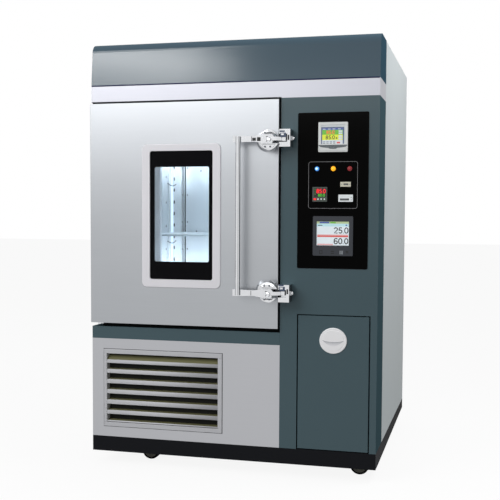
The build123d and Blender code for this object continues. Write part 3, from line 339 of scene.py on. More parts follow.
def glow(name, colour, strength=0.4):
    made = newFinish(name)
    colour = fromScreen(*colour)
    tone = made.blend(made.noise(60, detail=1), scaled(colour, 0.92), colour)
    return made.done(made.surface(
        Base_Color=tone, Roughness=0.3, Emission_Color=tone, Emission_Strength=strength,
    ))


paneSet = {
    "clear": (-0.2650, -0.0695, 0.7160, 1.0380),   # x0, x1, z0, z1 of the clear opening, m
    "corner": 0.006,
    "split": 0.02,                        # the front pane lies before this depth and has the print
    "ink": ((0.002, 0.002, 0.003), (0.004, 0.004, 0.005)),
    "glassTint": (0.94, 0.97, 0.98, 1),
    "displayTint": (0.97, 0.98, 0.99, 1),
}


def paneFinish(name):
    # clear panes, the front one printed black outside its opening
    made = newFinish(name)
    x, y, z = made.axes("Object")
    x0, x1, z0, z1 = paneSet["clear"]
    corner = paneSet["corner"]
    overX = ((x - (x0 + x1) / 2).size() - ((x1 - x0) / 2 - corner)).atLeast(0.0)
    overZ = ((z - (z0 + z1) / 2).size() - ((z1 - z0) / 2 - corner)).atLeast(0.0)
    inked = (overX * overX + overZ * overZ > corner * corner) * (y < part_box("window_glass")[0].y + paneSet["split"])
    inkTone = made.blend(made.noise(40), *paneSet["ink"])
    ink = made.surface(Base_Color=inkTone, Roughness=0.1, Specular_IOR_Level=0.04)
    see = made.node("ShaderNodeBsdfTransparent", values={"Color": paneSet["glassTint"]})
    shine = made.node("ShaderNodeBsdfGlossy", values={"Color": grey(1), "Roughness": 0.02})
    fresnel = made.node("ShaderNodeFresnel", values={"IOR": 1.45})
    return made.done(made.mix(inked, made.mix(fresnel * 0.6, see, shine), ink))


def displayPane(name):
    made = newFinish(name)
    see = made.node("ShaderNodeBsdfTransparent", values={"Color": paneSet["displayTint"]})
    shine = made.node("ShaderNodeBsdfGlossy", values={"Color": grey(1), "Roughness": 0.05})
    return made.done(made.mix(made.noise(50, detail=1) * 0.02 + 0.02, see, shine))


finishTable = {
    brushedSteel: {
        "doorSteel": {"colour": (172, 175, 179)},
        "lowerSteel": {"colour": (181, 182, 186)},
        "brightSteel": {"colour": (164, 165, 172), "rough": 0.38},
        "chamberSteel": {"colour": (225, 230, 236), "line": "z"},
        "zincPlate": {"colour": (176, 160, 104), "line": "z", "rough": 0.35},
        "finAluminium": {"colour": (200, 202, 204), "line": "y", "rough": 0.4},
    },
    paint: {
        "blueGreyPaint": {"colour": (64, 85, 92), "rough": 0.45, "coat": 0.6, "coatRough": 0.25, "shine": 0.0},
        "hoodPaint": {"colour": (52, 76, 90), "rough": 0.45, "coat": 1.0, "shine": 0.0},
        "sidePaint": {"colour": (190, 197, 199), "shine": 0.02},
        "blackPaint": {"colour": (31, 32, 35), "shine": 0.006},
        "greyPaint": {"colour": (120, 124, 126)},
        "louvreSteel": {"colour": (194, 195, 199), "shine": 0.2},
        "panelGloss": {"colour": (4, 4, 4), "rough": 0.14, "shine": 0.025},
    },
    plinthFinish: {"plinthPaint": {}},
    chrome: {"chromePlate": {}},
    paneFinish: {"windowPane": {}},
    displayPane: {"screenPane": {}},
    plastic: {
        "pullWhite": {"colour": (250, 250, 252)},
        "offWhiteMoulding": {"colour": (232, 231, 236), "rough": 0.36},
        "caseWhite": {"colour": (226, 229, 228), "rough": 0.34},
        "caseDark": {"colour": (34, 38, 46), "rough": 0.45},
        "blackMoulding": {"colour": (22, 22, 23), "rough": 0.5},
        "foamBoard": {"colour": (222, 204, 150), "rough": 0.85, "grain": 0.6},
        "gasketRubber": {"colour": (96, 98, 100), "rough": 0.6, "grain": 0.4},
        "treadRubber": {"colour": (13, 14, 15), "rough": 0.8, "grain": 0.4, "shine": 0.05},
        # dark slabs laid in the gaps as their painted shade
        "sealRubber": {"colour": (12, 15, 16), "rough": 0.8, "grain": 0.2, "shine": 0.05},
        "hubGrey": {"colour": (128, 128, 120), "rough": 0.6, "shine": 0.1},
        "tankPlastic": {"colour": (222, 228, 230), "rough": 0.45},
        "filterMesh": {"colour": (30, 31, 28), "rough": 0.9, "grain": 0.8},
        "shelfWire": {"colour": (222, 230, 236)},
        "screwDark": {"colour": (92, 98, 106), "rough": 0.3},
        "recessBlue": {"colour": (64, 78, 104), "rough": 0.3},
        "frameBlue": {"colour": (84, 104, 140), "rough": 0.3},
        "frameGrey": {"colour": (104, 112, 116)},
        "keyGrey": {"colour": (150, 156, 162), "rough": 0.4},
        "printGrey": {"colour": (118, 118, 120), "rough": 0.45},
        "oliveFrame": {"colour": (62, 72, 64), "rough": 0.4},
        "beigeCase": {"colour": (214, 211, 192), "rough": 0.4},
        "deepBlack": {"colour": (8, 9, 9), "rough": 0.3},
        # print on the screens and keys, and also the painted shade in the lever slots, seams and grooves and the
        # strikes' notches
        "inkDark": {"colour": (8, 12, 16), "rough": 0.6},
        "navyLine": {"colour": (34, 40, 74), "rough": 0.6, "shine": 0.05},
        "holeDark": {"colour": (18, 32, 48), "rough": 0.6, "shine": 0.1},
        "slitDark": {"colour": (14, 40, 50), "rough": 0.6, "shine": 0.1},
        # the blades' inner faces: a darker olive tone painted as their shade
        "louvreInner": {"colour": (112, 110, 78), "rough": 0.45},
    },
    glow: {
        "lampTube": {"colour": (238, 247, 255), "strength": 1.6},
        # the chamber ribs glow though they are plain steel: a painted highlight
        "ribBright": {"colour": (226, 238, 248), "strength": 0.62},
        "screenWhite": {"colour": (205, 210, 212), "strength": 0.32},
        "frostWhite": {"colour": (214, 222, 226), "strength": 0.38},
        "screenBlue": {"colour": (56, 76, 150)},
        "screenGreen": {"colour": (90, 168, 24)},
        "screenLime": {"colour": (206, 214, 20)},
        "screenOrange": {"colour": (226, 100, 34), "strength": 0.5},
        "screenRed": {"colour": (200, 74, 66)},
        "screenCyan": {"colour": (176, 212, 218)},
        "screenPink": {"colour": (214, 158, 158)},
        "screenSage": {"colour": (170, 186, 138)},
        "litRed": {"colour": (225, 24, 30), "strength": 0.8},
        "litGreen": {"colour": (70, 170, 30), "strength": 0.7},
        "lensBlue": {"colour": (78, 160, 232), "strength": 0.75},
        "lensPale": {"colour": (206, 240, 250), "strength": 0.9},
        "lensAmber": {"colour": (250, 178, 14), "strength": 0.66},
        "lensRed": {"colour": (130, 20, 26), "strength": 0.3},
        "haloBlue": {"colour": (14, 70, 150)},
    },
}
finishes = {
    name: make(name, **values) for make, group in finishTable.items() for name, values in group.items()
}

corners = ("front_left", "front_right", "rear_left", "rear_right")
nodeFinish = {
    "greyPaint": ("base_frame", "electrical_plate"),
    "plinthPaint": ("plinth_skirt",),
    "sidePaint": ("left_side_panel", "right_side_panel", "rear_panel", "roof_panel"),
    "hoodPaint": ("top_hood",),
    "brightSteel": ("header_trim", "louvre_grille"),
    "blueGreyPaint": ("control_column", "lower_rail", "service_door"),
    "lowerSteel": ("lower_front_panel",),
    "doorSteel": ("door_skin",),
    "chamberSteel": (
        "front_frame", "chamber_liner", "cable_port", "rear_baffle", "shelf_rails", "heater_element",
        "humidifier_boiler", "door_pan", "drain_spigot",
    ),
    "finAluminium": ("evaporator_coil", "circulation_fan", "condenser_coil"),
    "blackPaint": ("condenser_shroud", "compressor"),
    "blackMoulding": ("condenser_fan",),
    "filterMesh": ("air_filter",),
    "foamBoard": ("insulation", "door_foam"),
    "shelfWire": ("wire_shelves",),
    "caseDark": ("fan_motor", "recorder_case", "panel_meters"),
    "caseWhite": ("controller_case", "controller_flap"),
    "panelGloss": ("control_panel",),
    "screenPane": ("display_windows",),
    "windowPane": ("window_glass",),
    "lampTube": ("chamber_lamp",),
    "tankPlastic": ("water_tank",),
    "gasketRubber": ("door_gasket",),
    "offWhiteMoulding": ("window_frame",),
    "pullWhite": ("pull_cup",),
    "chromePlate": ("indicator_lamps", "hinge_brackets", "latch_bases", "latch_handle", "latch_strikes"),
    "zincPlate": [f"caster_fork_{corner}" for corner in corners],
    "treadRubber": [f"caster_wheel_{corner}" for corner in corners],
}
for look, group in nodeFinish.items():
    for name in group:
        nodes[name].data.materials.clear()
        nodes[name].data.materials.append(finishes[look])
print("finishes on", sum(len(group) for group in nodeFinish.values()), "nodes")


# Pieces: one mesh per piece, at the origin, riding on the body it belongs to. Sizes are mm

def metres(*values):
    return Vector(values) / 1000


def arc(x, z, across, high, start, end, steps=14):
    turns = [math.radians(start + (end - start) * i / steps) for i in range(steps + 1)]
    return [(x + across * math.cos(turn), z + high * math.sin(turn)) for turn in turns]


# Numbers as strokes in a box 0.6 wide and 1 high
strokeSet = {
    "0": [arc(0.3, 0.5, 0.25, 0.46, 0, 360, 24)],
    "2": [arc(0.3, 0.71, 0.24, 0.25, 170, -35) + [(0.07, 0.04), (0.56, 0.04)]],
    "5": [[(0.53, 0.96), (0.15, 0.96), (0.09, 0.5)] + arc(0.29, 0.31, 0.25, 0.27, 128, -150)],
    "6": [arc(0.3, 0.29, 0.24, 0.25, 0, 360, 20),
          [(0.06, 0.3), (0.07, 0.58)] + arc(0.33, 0.68, 0.26, 0.28, 160, 35)],
    "8": [arc(0.3, 0.27, 0.24, 0.23, 0, 360, 20), arc(0.3, 0.74, 0.21, 0.22, 0, 360, 20)],
    ".": [[(0.06, 0.0), (0.06, 0.09)]],
}
numberSet = {"pitch": 0.7, "pointPitch": 0.22, "deep": 0.12}


class Piece:
    def __init__(self, name, body, *looks):
        self.name = name
        self.body = body
        self.looks = looks                # the first one is the piece's plain look
        self.shape = bmesh.new()

    def dress(self, verts, look, smooth=lambda face: False):
        faces = {face for vert in verts for face in vert.link_faces}
        for face in faces:
            face.material_index = self.looks.index(look) if look else 0
            face.smooth = smooth(face)
        return faces

    def bevel(self, edges, corner, steps):
        bmesh.ops.bevel(self.shape, geom=edges, offset=corner / 1000, offset_type="OFFSET", affect="EDGES",
                        segments=steps, profile=0.5, material=-1)

    def slab(self, x, y, z, look=None, corner=0.0):
        # box from pairs of x, y and z, with its edges rounded by corner
        low, high = (metres(*(pick(pair) for pair in (x, y, z))) for pick in (min, max))
        turn = Matrix.Translation((low + high) / 2) @ Matrix.Diagonal((*(high - low), 1))
        made = bmesh.ops.create_cube(self.shape, size=1, matrix=turn)["verts"]
        self.dress(made, look)
        if corner:
            self.bevel(list({edge for vert in made for edge in vert.link_edges}), corner, 2)

    def rod(self, start, end, radius, look=None, sides=24):
        first, last = metres(*start), metres(*end)
        way = last - first
        turn = Matrix.Translation((first + last) / 2) @ way.to_track_quat("Z", "Y").to_matrix().to_4x4()
        made = bmesh.ops.create_cone(self.shape, cap_ends=True, segments=sides, radius1=radius / 1000,
                                     radius2=radius / 1000, depth=way.length, matrix=turn)["verts"]
        self.dress(made, look, lambda face: len(face.verts) == 4)

    def dome(self, centre, radii, look=None):
        turn = Matrix.Translation(metres(*centre)) @ Matrix.Diagonal((*metres(*radii), 1))
        made = bmesh.ops.create_uvsphere(self.shape, u_segments=24, v_segments=14, radius=1, matrix=turn)
        self.dress(made["verts"], look, lambda face: True)

    def ring(self, centre, across, thick, look=None):
        # round section turned about a Y axis
        middle, before = metres(*centre), set(self.shape.verts)
        place = Matrix.Translation(middle + metres(across, 0, 0))
        loop = bmesh.ops.create_circle(self.shape, segments=8, radius=thick / 1000, matrix=place)["verts"]
        edges = list({edge for vert in loop for edge in vert.link_edges})
        bmesh.ops.spin(self.shape, geom=loop + edges, cent=middle, axis=(0, 1, 0), angle=2 * math.pi,
                       steps=40, use_merge=True)
        self.dress(set(self.shape.verts) - before, look, lambda face: True)

    def prism(self, spots, along, look=None):
        # flat outline of spots, grown along a way; gives its first and its last corners
        first = [self.shape.verts.new(metres(*spot)) for spot in spots]
        flat = self.shape.faces.new(first)
        grown = bmesh.ops.extrude_face_region(self.shape, geom=[flat])["geom"]
        last = [vert for vert in grown if isinstance(vert, bmesh.types.BMVert)]
        bmesh.ops.translate(self.shape, vec=metres(*along), verts=last)
        self.dress(first + last, look)
        return first, last

    def roundRim(self, verts, corner, steps):
        self.bevel(list({edge for vert in verts for edge in vert.link_edges
                         if edge.verts[0] in verts and edge.verts[1] in verts}), corner, steps)

    def oval(self, x, z, radii, depth, corner):
        back, face = depth
        turn = (Matrix.Translation(metres(x, (back + face) / 2, z)) @ Matrix.Rotation(math.pi / 2, 4, "X")
                @ Matrix.Diagonal((*metres(*radii), 1, 1)))
        made = bmesh.ops.create_cone(self.shape, cap_ends=True, segments=72, radius1=1, radius2=1,
                                     depth=(back - face) / 1000, matrix=turn)["verts"]
        self.dress(made, None, lambda side: len(side.verts) == 4)
        self.roundRim([vert for vert in made if vert.co.y < (back + face) / 2000], corner, 4)

    def sweep(self, rows, look=None):
        # a closed band through rows of corners, one face grown from row to row
        tips = [self.shape.faces.new([self.shape.verts.new(spot) for spot in rows[0]])]
        for row in rows[1:]:
            grown = bmesh.ops.extrude_face_region(self.shape, geom=[tips[-1]])["geom"]
            tips.append(next(item for item in grown if isinstance(item, bmesh.types.BMFace)))
            for vert, spot in zip(tips[-1].verts, row):
                vert.co = spot
        self.dress({vert for tip in tips for vert in tip.verts}, look)
        for inner in tips[1:-1]:
            self.shape.faces.remove(inner)

    def number(self, text, x, z, high, face, look, bold, wide):
        # plain number with its left foot at x, z; face is the y of the surface it stands on
        half, near = high * bold / 2, face - numberSet["deep"]
        for sign in text:
            for path in strokeSet[sign]:
                spots = [Vector((x + px * high * wide, z + pz * high)) for px, pz in path]
                rows = []
                for i, spot in enumerate(spots):
                    way = (spots[min(i + 1, len(spots) - 1)] - spots[max(i - 1, 0)]).normalized()
                    side = Vector((-way.y, way.x)) * half
                    rows.append([metres(p.x, y, p.y) for p, y in (
                        (spot + side, near), (spot - side, near), (spot - side, face), (spot + side, face))])
                self.sweep(rows, look)
            x += high * wide * numberSet["pointPitch" if sign == "." else "pitch"]

    def done(self):
        bmesh.ops.recalc_face_normals(self.shape, faces=self.shape.faces)
        mesh = bpy.data.meshes.new(self.name)
        self.shape.to_mesh(mesh)
        self.shape.free()
        for look in self.looks:
            mesh.materials.append(finishes[look])
        piece = bpy.data.objects.new(self.name, mesh)
        bpy.context.collection.objects.link(piece)
        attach(piece, self.body)
        return piece


def makeOfSlabs(name, body, bars):
    # bars give x, y, z, look and rounding
    piece = Piece(name, body, *dict.fromkeys(bar[3] for bar in bars))
    for bar in bars:
        piece.slab(*bar)
    piece.done()


def inRow(starts, wide, high, look):
    return [((x, x + wide), high, look) for x in starts]


# Controller and recorder displays

controllerSet = {
    "back": -456.6,
    "thick": 0.05,
    "frameThick": 0.4,
    "frame": ((309.9, 386.4), (1102.7, 1161.7), "frameBlue", 0.15),
    "across": (314.5, 381.8),
    "bands": {"screenWhite": (1106.6, 1119.9), "screenLime": (1119.9, 1137.1),
              "screenGreen": (1137.1, 1152.4), "screenBlue": (1152.4, 1157.8)},
    "marks": [
        *inRow((316.5, 333.0, 348.0, 366.0), 9, (1154.2, 1156.2), "screenWhite"),
        *(((368.0, 380.4), (z, z + high), "screenWhite")
          for z, high in ((1121.6, 6.0), (1129.0, 6.0), (1138.8, 5.0), (1145.4, 5.2))),
        *inRow((317.0, 328.0, 339.0, 350.0), 8, (1109.0, 1111.0), "inkDark"),
        *inRow((317.0, 328.0, 339.0, 350.0), 8, (1114.0, 1115.6), "frameBlue"),
        ((359.0, 364.0), (1124.0, 1128.0), "inkDark"),
        ((362.3, 373.4), (1108.6, 1113.6), "screenRed"),
    ],
    "markThick": 0.1,
    # text, left, foot, height, look, stroke, width
    "numbers": (("85.0", 328.0, 1139.8, 10.4, "screenOrange", 0.2, 1.15),
                ("85.0", 326.0, 1122.8, 11.6, "inkDark", 0.17, 1.15)),
}
recorderSet = {
    "back": -456.6,
    "thick": 0.05,
    "frameThick": 0.4,
    "frame": ((299.0, 405.9), (775.6, 856.4), "caseDark", 0.0),
    "across": (299.1, 405.0),
    "bands": {"frostWhite": (778.5, 840.0), "screenCyan": (840.0, 849.4), "screenSage": (849.4, 856.3)},
    "marks": [
        ((308.5, 340.5), (850.2, 855.4), "screenBlue"),
        ((344.0, 362.0), (850.6, 855.0), "screenGreen"),
        ((303.0, 318.0), (842.6, 845.0), "inkDark"),
        ((394.0, 399.0), (842.4, 846.4), "screenBlue"),
        ((301.3, 402.8), (805.6, 810.6), "screenRed"),
        ((301.3, 402.8), (810.6, 813.9), "screenPink"),
        ((301.3, 353.0), (779.4, 783.6), "screenPink"),
    ],
    "markThick": 0.05,
    "numbers": (("25.0", 356.0, 818.2, 18.5, "inkDark", 0.175, 1.15),
                ("60.0", 356.0, 783.4, 18.5, "inkDark", 0.175, 1.15)),
}


def makeScreen(name, values):
    x, z, frameLook, corner = values["frame"]
    looks = [*values["bands"], *(mark[2] for mark in values["marks"]), *(item[4] for item in values["numbers"])]
    screen = Piece(name, "cabinet", *dict.fromkeys([frameLook, *looks]))
    back = values["back"]
    front = back - values["thick"]
    screen.slab(x, (back, back + values["frameThick"]), z, frameLook, corner)
    for look, high in values["bands"].items():
        screen.slab(values["across"], (front, back), high, look)
    for x, z, look in values["marks"]:
        screen.slab(x, (front - values["markThick"], front), z, look)
    for text, x, z, high, look, bold, wide in values["numbers"]:
        screen.number(text, x, z, high, front, look, bold, wide)
    screen.done()


makeScreen("controllerScreen", controllerSet)
makeScreen("recorderScreen", recorderSet)


# Marks under the recorder screen: four small plain key signs

keySet = {
    "depth": (-458.2, -457.8),
    "marks": [
        *(mark for z in ((760.2, 762.4), (749.6, 751.8)) for mark in inRow((308.6,), 10.3, z, "inkDark")),
        *inRow((308.6, 316.7), 2.2, (751.8, 760.2), "inkDark"),
        *(((346.6, 357.4), (z, z + 3.6), "inkDark") for z in (751.0, 757.4)),
        *(((375.4 + 4 * i, 378.4 + 4 * i), (750.4 + 4 * j, 753.4 + 4 * j), "keyGrey")
          for j in range(3) for i in range(3)),
        ((395.6, 404.0), (753.6, 761.6), "inkDark", 0.15),
    ],
}
makeOfSlabs("recorderKeys", "cabinet", [(x, keySet["depth"], *rest) for x, *rest in keySet["marks"]])


# Limit regulator, hour meter and data port faces, each measured from its own lower left corner

meterSet = {
    "regulator": {
        "corner": (283.5, -456.0, 920.5),
        "bars": [   # x, depth, z, look, rounding
            ((0.6, 48.4), (-0.4, 0.4), (0.6, 47.4), "oliveFrame", 0.3),
            ((6.0, 46.0), (-0.6, 0.0), (15.5, 43.5), "deepBlack", 0.0),
            *(((8.0, 10.5), (-0.8, -0.6), (z, z + 1.6), "litGreen", 0.0) for z in (24.0, 31.0, 38.0)),
            ((4.4, 13.0), (-1.0, -0.3), (5.4, 11.0), "litRed", 0.5),
        ],
        "numbers": (("85.0", 13.5, 28.0, 13.0, "litRed", 0.2, 1.05),
                    ("80.0", 19.0, 17.0, 8.4, "litGreen", 0.2, 1.2)),
        # the white studs take the screens' glowing white: painted light on buttons that are no lamps
        "studs": [((x, -0.4, 8.4), (2.4, 0.9, 2.4), "screenWhite") for x in (19.0, 29.5, 40.0)],
    },
    "hourMeter": {
        "corner": (368.8, -455.0, 920.0),
        "bars": [
            # the hour meter's white face takes the screens' glowing white: painted light, though it is no lamp
            ((0.5, 48.0), (-0.4, 0.4), (0.5, 23.5), "screenWhite", 0.3),
            ((5.8, 35.0), (-0.6, 0.0), (4.6, 11.2), "deepBlack", 0.0),
        ],
        "numbers": (("000000", 7.4, 5.8, 4.2, "keyGrey", 0.16, 1.4),),
        "studs": [((42.5, -0.4, z), (1.7, 0.7, 1.7), "keyGrey") for z in (6.4, 14.8)],
    },
    "dataPort": {
        "corner": (374.5, -453.0, 968.8),
        "bars": [
            ((0.4, 34.6), (-0.4, 0.4), (0.4, 16.0), "beigeCase", 0.3),
            ((11.0, 26.0), (-0.55, 0.0), (5.4, 11.0), "deepBlack", 0.2),
            ((12.6, 24.4), (-0.7, -0.5), (7.6, 9.0), "keyGrey", 0.0),
        ],
        "numbers": (),
        "studs": [((x, -0.4, 8.2), (1.6, 0.6, 1.6), "keyGrey") for x in (5.2, 29.8)],
    },
}
numberLift = 0.6


def makeMeters():
    meters = Piece("meterFaces", "cabinet", "oliveFrame", "deepBlack", "litRed", "litGreen", "screenWhite",
                   "keyGrey", "beigeCase")
    for values in meterSet.values():
        left, face, foot = values["corner"]
        for x, y, z, look, rounding in values["bars"]:
            meters.slab(*([v + start for v in pair] for pair, start in zip((x, y, z), values["corner"])),
                        look, rounding)
        for text, x, z, high, look, bold, wide in values["numbers"]:
            meters.number(text, left + x, foot + z, high, face - numberLift, look, bold, wide)
        for spot, radii, look in values["studs"]:
            meters.dome([v + start for v, start in zip(spot, values["corner"])], radii, look)
    meters.done()


makeMeters()


# Indicator lamps: coloured lenses in bright rims

lampSet = {
    "lenses": ((298.0, "lensBlue", "haloBlue"), (351.7, "lensAmber", "lensAmber"), (405.4, "lensRed", "lensRed")),
    "z": 1027.5,
    "face": -455.0,
    "radii": (6.6, 3.4, 6.6),
    "rim": (7.1, 0.75),
    "spark": (-0.5, -2.0, (3.9, 2.2, 3.9)),
}


def makeLamps():
    lamps = Piece("lampLenses", "cabinet", "lensBlue", "lensAmber", "lensRed", "haloBlue", "lensPale")
    face, z = lampSet["face"], lampSet["z"]
    for x, lens, rim in lampSet["lenses"]:
        lamps.dome((x, face, z), lampSet["radii"], lens)
        lamps.ring((x, face + 0.1, z), *lampSet["rim"], rim)
    aside, ahead, radii = lampSet["spark"]
    lamps.dome((lampSet["lenses"][0][0] + aside, face + ahead, z), radii, "lensPale")
    lamps.done()


makeLamps()


# Printed outline on the control panel

printSet = {"x": (269.0, 431.0), "z": (898.5, 1051.0), "corner": 8.0, "line": 1.25, "front": -451.12, "deep": 0.2}


def makeOutline():
    outline = Piece("panelOutline", "cabinet", "printGrey")
    shape, (x0, x1), (z0, z1) = outline.shape, printSet["x"], printSet["z"]
    spots = ((x0, z0), (x1, z0), (x1, z1), (x0, z1))
    shape.faces.new([shape.verts.new(metres(x, printSet["front"], z)) for x, z in spots])
    bmesh.ops.bevel(shape, geom=shape.verts[:], offset=printSet["corner"] / 1000, offset_type="OFFSET",
                    affect="VERTICES", segments=6, profile=0.5, material=-1)
    inside = shape.faces[:]
    bmesh.ops.inset_region(shape, faces=inside, thickness=printSet["line"] / 1000, use_boundary=True,
                           use_even_offset=True)
    bmesh.ops.delete(shape, geom=inside, context="FACES")
    grown = bmesh.ops.extrude_face_region(shape, geom=shape.faces[:])["geom"]
    moved = [vert for vert in grown if isinstance(vert, bmesh.types.BMVert)]
    bmesh.ops.translate(shape, verts=moved, vec=metres(0, printSet["deep"], 0))
    outline.done()


makeOutline()


# Controller flap: grey lip with a finger tab, and the case edge above it

flapSet = {
    "x": (307.6, 392.4),
    "top": 1099.9,
    "face": -459.0,
    "thick": 0.4,
    "narrow": 1.6,                        # height of the lip at its ends
    "bow": 4.2,
    "tab": (0.3, 2.4),                    # half width as a share, and extra height
    "steps": 24,
    "edge": ((302.8, 397.2), (-458.5, -457.6), (1100.6, 1104.4), "frameGrey", 0.4),
}


def makeFlapLip():
    lip = Piece("flapLip", "controller_flap", "frameGrey")
    (x0, x1), top = flapSet["x"], flapSet["top"]
    front, back = flapSet["face"], flapSet["face"] + flapSet["thick"]
    half, extra = flapSet["tab"]
    rows = []
    for i in range(flapSet["steps"] + 1):
        part = i / flapSet["steps"]
        away = abs(2 * part - 1)
        sag = flapSet["bow"] * (1 - away ** 2) + (extra if away < half else 0.0)
        x, low = x0 + (x1 - x0) * part, top - flapSet["narrow"] - sag
        rows.append([metres(x, y, z) for y, z in ((front, top), (front, low), (back, low), (back, top))])
    lip.sweep(rows)
    lip.done()


makeFlapLip()
makeOfSlabs("caseLip", "cabinet", [flapSet["edge"]])
print("panel dressed")


# Louvre: bevelled frame and seven hemmed blades rising to the rear. Depths are from its face

louvreSet = {
    "outer": ((-456.0, -24.0), (133.0, 406.0)),
    "inner": ((-445.0, -39.0), (148.0, 390.0)),
    "face": -452.0,
    "flange": (0.0, 4.0),
    "corner": 1.2,
    "wall": 1.2,
    "wallDepth": (3.0, 27.0),
    "wallReach": (2.0, 4.0),              # how far the walls go past the opening, below and above
    "blades": ((368.7, 356.5), (335.2, 321.0), (299.7, 285.0), (263.7, 249.0), (227.2, 212.0),
               (190.7, 176.7), (154.2, 150.0)),
    "rear": 22.0,
    "rise": (15.0, 1.8),                  # of the top blade and of the others
    "front": ((1.0, 0.0), (0.5, 1.2)),    # depth and height over the foot
    "roll": ((1.2, -2.4), (2.0, -0.6), (3.2, 0.0)),       # depth and height from the top
    "inside": ((3.6, -1.6), (2.6, -3.2)),
    "footInside": 2.2,
    "rolled": 4,                          # sides that are smooth
    "dark": (4, 5, 6),                    # sides that take the inner look, a darker olive tone painted as their shade
}


def makeLouvre():
    louvre = Piece("louvreGrille", "cabinet", "louvreSteel", "louvreInner")
    (x0, x1), (z0, z1) = louvreSet["outer"]
    (a0, a1), (c0, c1) = louvreSet["inner"]
    face, wall, (below, above) = louvreSet["face"], louvreSet["wall"], louvreSet["wallReach"]
    flange, deep = ([face + v for v in louvreSet[key]] for key in ("flange", "wallDepth"))
    for x, z in (((x0, x1), (c1, z1)), ((x0, x1), (z0, c0)), ((x0, a0), (c0, c1)), ((a1, x1), (c0, c1))):
        louvre.slab(x, flange, z, None, louvreSet["corner"])
    for x in (a0 - wall, a1):
        louvre.slab((x, x + wall), deep, (c0 - below, c1 + above))
    for z in (c1 + above - wall, c0 - below):
        louvre.slab((a0, a1), deep, (z, z + wall))
    for index, (high, low) in enumerate(louvreSet["blades"]):
        rise = louvreSet["rise"][min(index, 1)]
        rear = louvreSet["rear"]
        profile = [*((y, low + z) for y, z in louvreSet["front"]), *((y, high + z) for y, z in louvreSet["roll"]),
                   (rear, high + rise), (rear, high + rise - wall),
                   *((y, high + z) for y, z in louvreSet["inside"]), (louvreSet["footInside"], low)]
        first, _ = louvre.prism([(a0, face + y, z) for y, z in profile], (a1 - a0, 0, 0))
        for i, vert in enumerate(first):
            after = first[(i + 1) % len(first)]
            side = next(item for item in vert.link_faces if after in item.verts and len(item.verts) == 4)
            side.smooth = i < louvreSet["rolled"]
            side.material_index = int(i in louvreSet["dark"])
    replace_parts(louvre.done(), "louvre_grille")


makeLouvre()


# Chamber: standards with glowing ribs and hook holes, corner seams, dark dots and wire hooks. The ribs' glow is a
# painted highlight; the holes, slits and dots are dark slabs and domes of painted shade

holeHeights = (1027, 926.5, 833.5, 742, 650)
hookHeights = (1070.6, 1023.8, 979.2, 930.5, 883.7, 836.9, 790.0, 745.0, 698.0, 651.0, 604.5)
standardSet = {
    "walls": ((-402.0, 1), (72.0, -1)),   # x, and the way into the chamber
    "high": (572, 1178),
    "thick": 3.0,
    # the two bright rib strips glow with a painted highlight
    "strips": (((50.0, 101.0), "ribBright", 1.4), ((-82.0, -58.0), "ribBright", 1.4),
               ((102.5, 119.0), "chamberSteel", 0.8)),
    # the hole marks are dark slabs of painted shade
    "marks": (   # heights, depth, half height, how far off the wall it starts and ends
        (holeHeights, (8.7, 14.7), 4.5, (5.0, 5.3)),
        (holeHeights, (-296.3, -290.3), 4.5, (5.0, 5.3)),
        (hookHeights, (103.5, 117.0), 6.4, (0.0, 3.5)),
        (hookHeights, (-216.0, -210.0), 4.2, (5.0, 5.3)),
    ),
}
seamSet = {
    "high": (560, 1188),
    "rear": 243.0,
    "strips": ((-402.0, -400.2), (-393.8, -391.5), (64.0, 67.0), (68.2, 72.0)),
    # the slits are dark slabs of painted shade
    "slits": ((-400.2, -393.8), (67.0, 68.2)),
    "proud": (2.5, 1.4),                  # of the strips and of the slits
    # the dark domes at these dots stand for holes, as painted shade
    "dotHeights": (1075.5, 962.5, 849.0, 735.5, 622.0),
    "rearDots": (-388.0, 58.0),
    "sideDots": ((-402.0, 219.8), (72.0, 219.8)),
    "looseDots": ((-328.4, 1063.0), (-310.2, 793.0), (-347.8, 811.0), (-20.0, 1063.0), (-20.0, 793.0)),
    "flat": (3.0, 1.6, 3.0),
    "aside": (1.6, 3.0, 3.0),
}
hookSet = {"heights": (1003.0, 773.5), "x": (-393.0, 2.0), "y": (17.0, 99.0), "sag": 9.0, "radius": 1.4, "steps": 16}


def makeStandards():
    standards = Piece("chamberStandards", "cabinet", "chamberSteel", "holeDark", "ribBright")
    for wall, way in standardSet["walls"]:
        for y, look, corner in standardSet["strips"]:
            standards.slab((wall, wall + way * standardSet["thick"]), y, standardSet["high"], look, corner)
        for heights, y, half, (start, end) in standardSet["marks"]:
            for z in heights:
                standards.slab((wall + way * start, wall + way * end), y, (z - half, z + half), "holeDark")
    standards.done()


def makeSeams():
    seams = Piece("chamberSeams", "cabinet", "chamberSteel", "slitDark", "holeDark")
    rear = seamSet["rear"]
    for group, look, proud in zip(("strips", "slits"), ("chamberSteel", "slitDark"), seamSet["proud"]):
        for x in seamSet[group]:
            seams.slab(x, (rear - proud, rear), seamSet["high"], look)
    for z in seamSet["dotHeights"]:
        for x in seamSet["rearDots"]:
            seams.dome((x, rear, z), seamSet["flat"], "holeDark")
        for x, y in seamSet["sideDots"]:
            seams.dome((x, y, z), seamSet["aside"], "holeDark")
    for x, z in seamSet["looseDots"]:
        seams.dome((x, rear, z), seamSet["flat"], "holeDark")
    seams.done()


def makeHooks():
    hooks = Piece("chamberHooks", "cabinet", "slitDark")
    (x, bow), (y, reach) = hookSet["x"], hookSet["y"]
    parts = [i / hookSet["steps"] for i in range(hookSet["steps"] + 1)]
    for z in hookSet["heights"]:
        spots = [(x + bow * math.sin(math.pi * part), y + reach * part, z - hookSet["sag"] * math.sin(math.pi * part))
                 for part in parts]
        for near, far in zip(spots, spots[1:]):
            hooks.rod(near, far, hookSet["radius"], sides=8)
    hooks.done()


makeStandards()
makeSeams()
makeHooks()
print("louvre and chamber dressed")
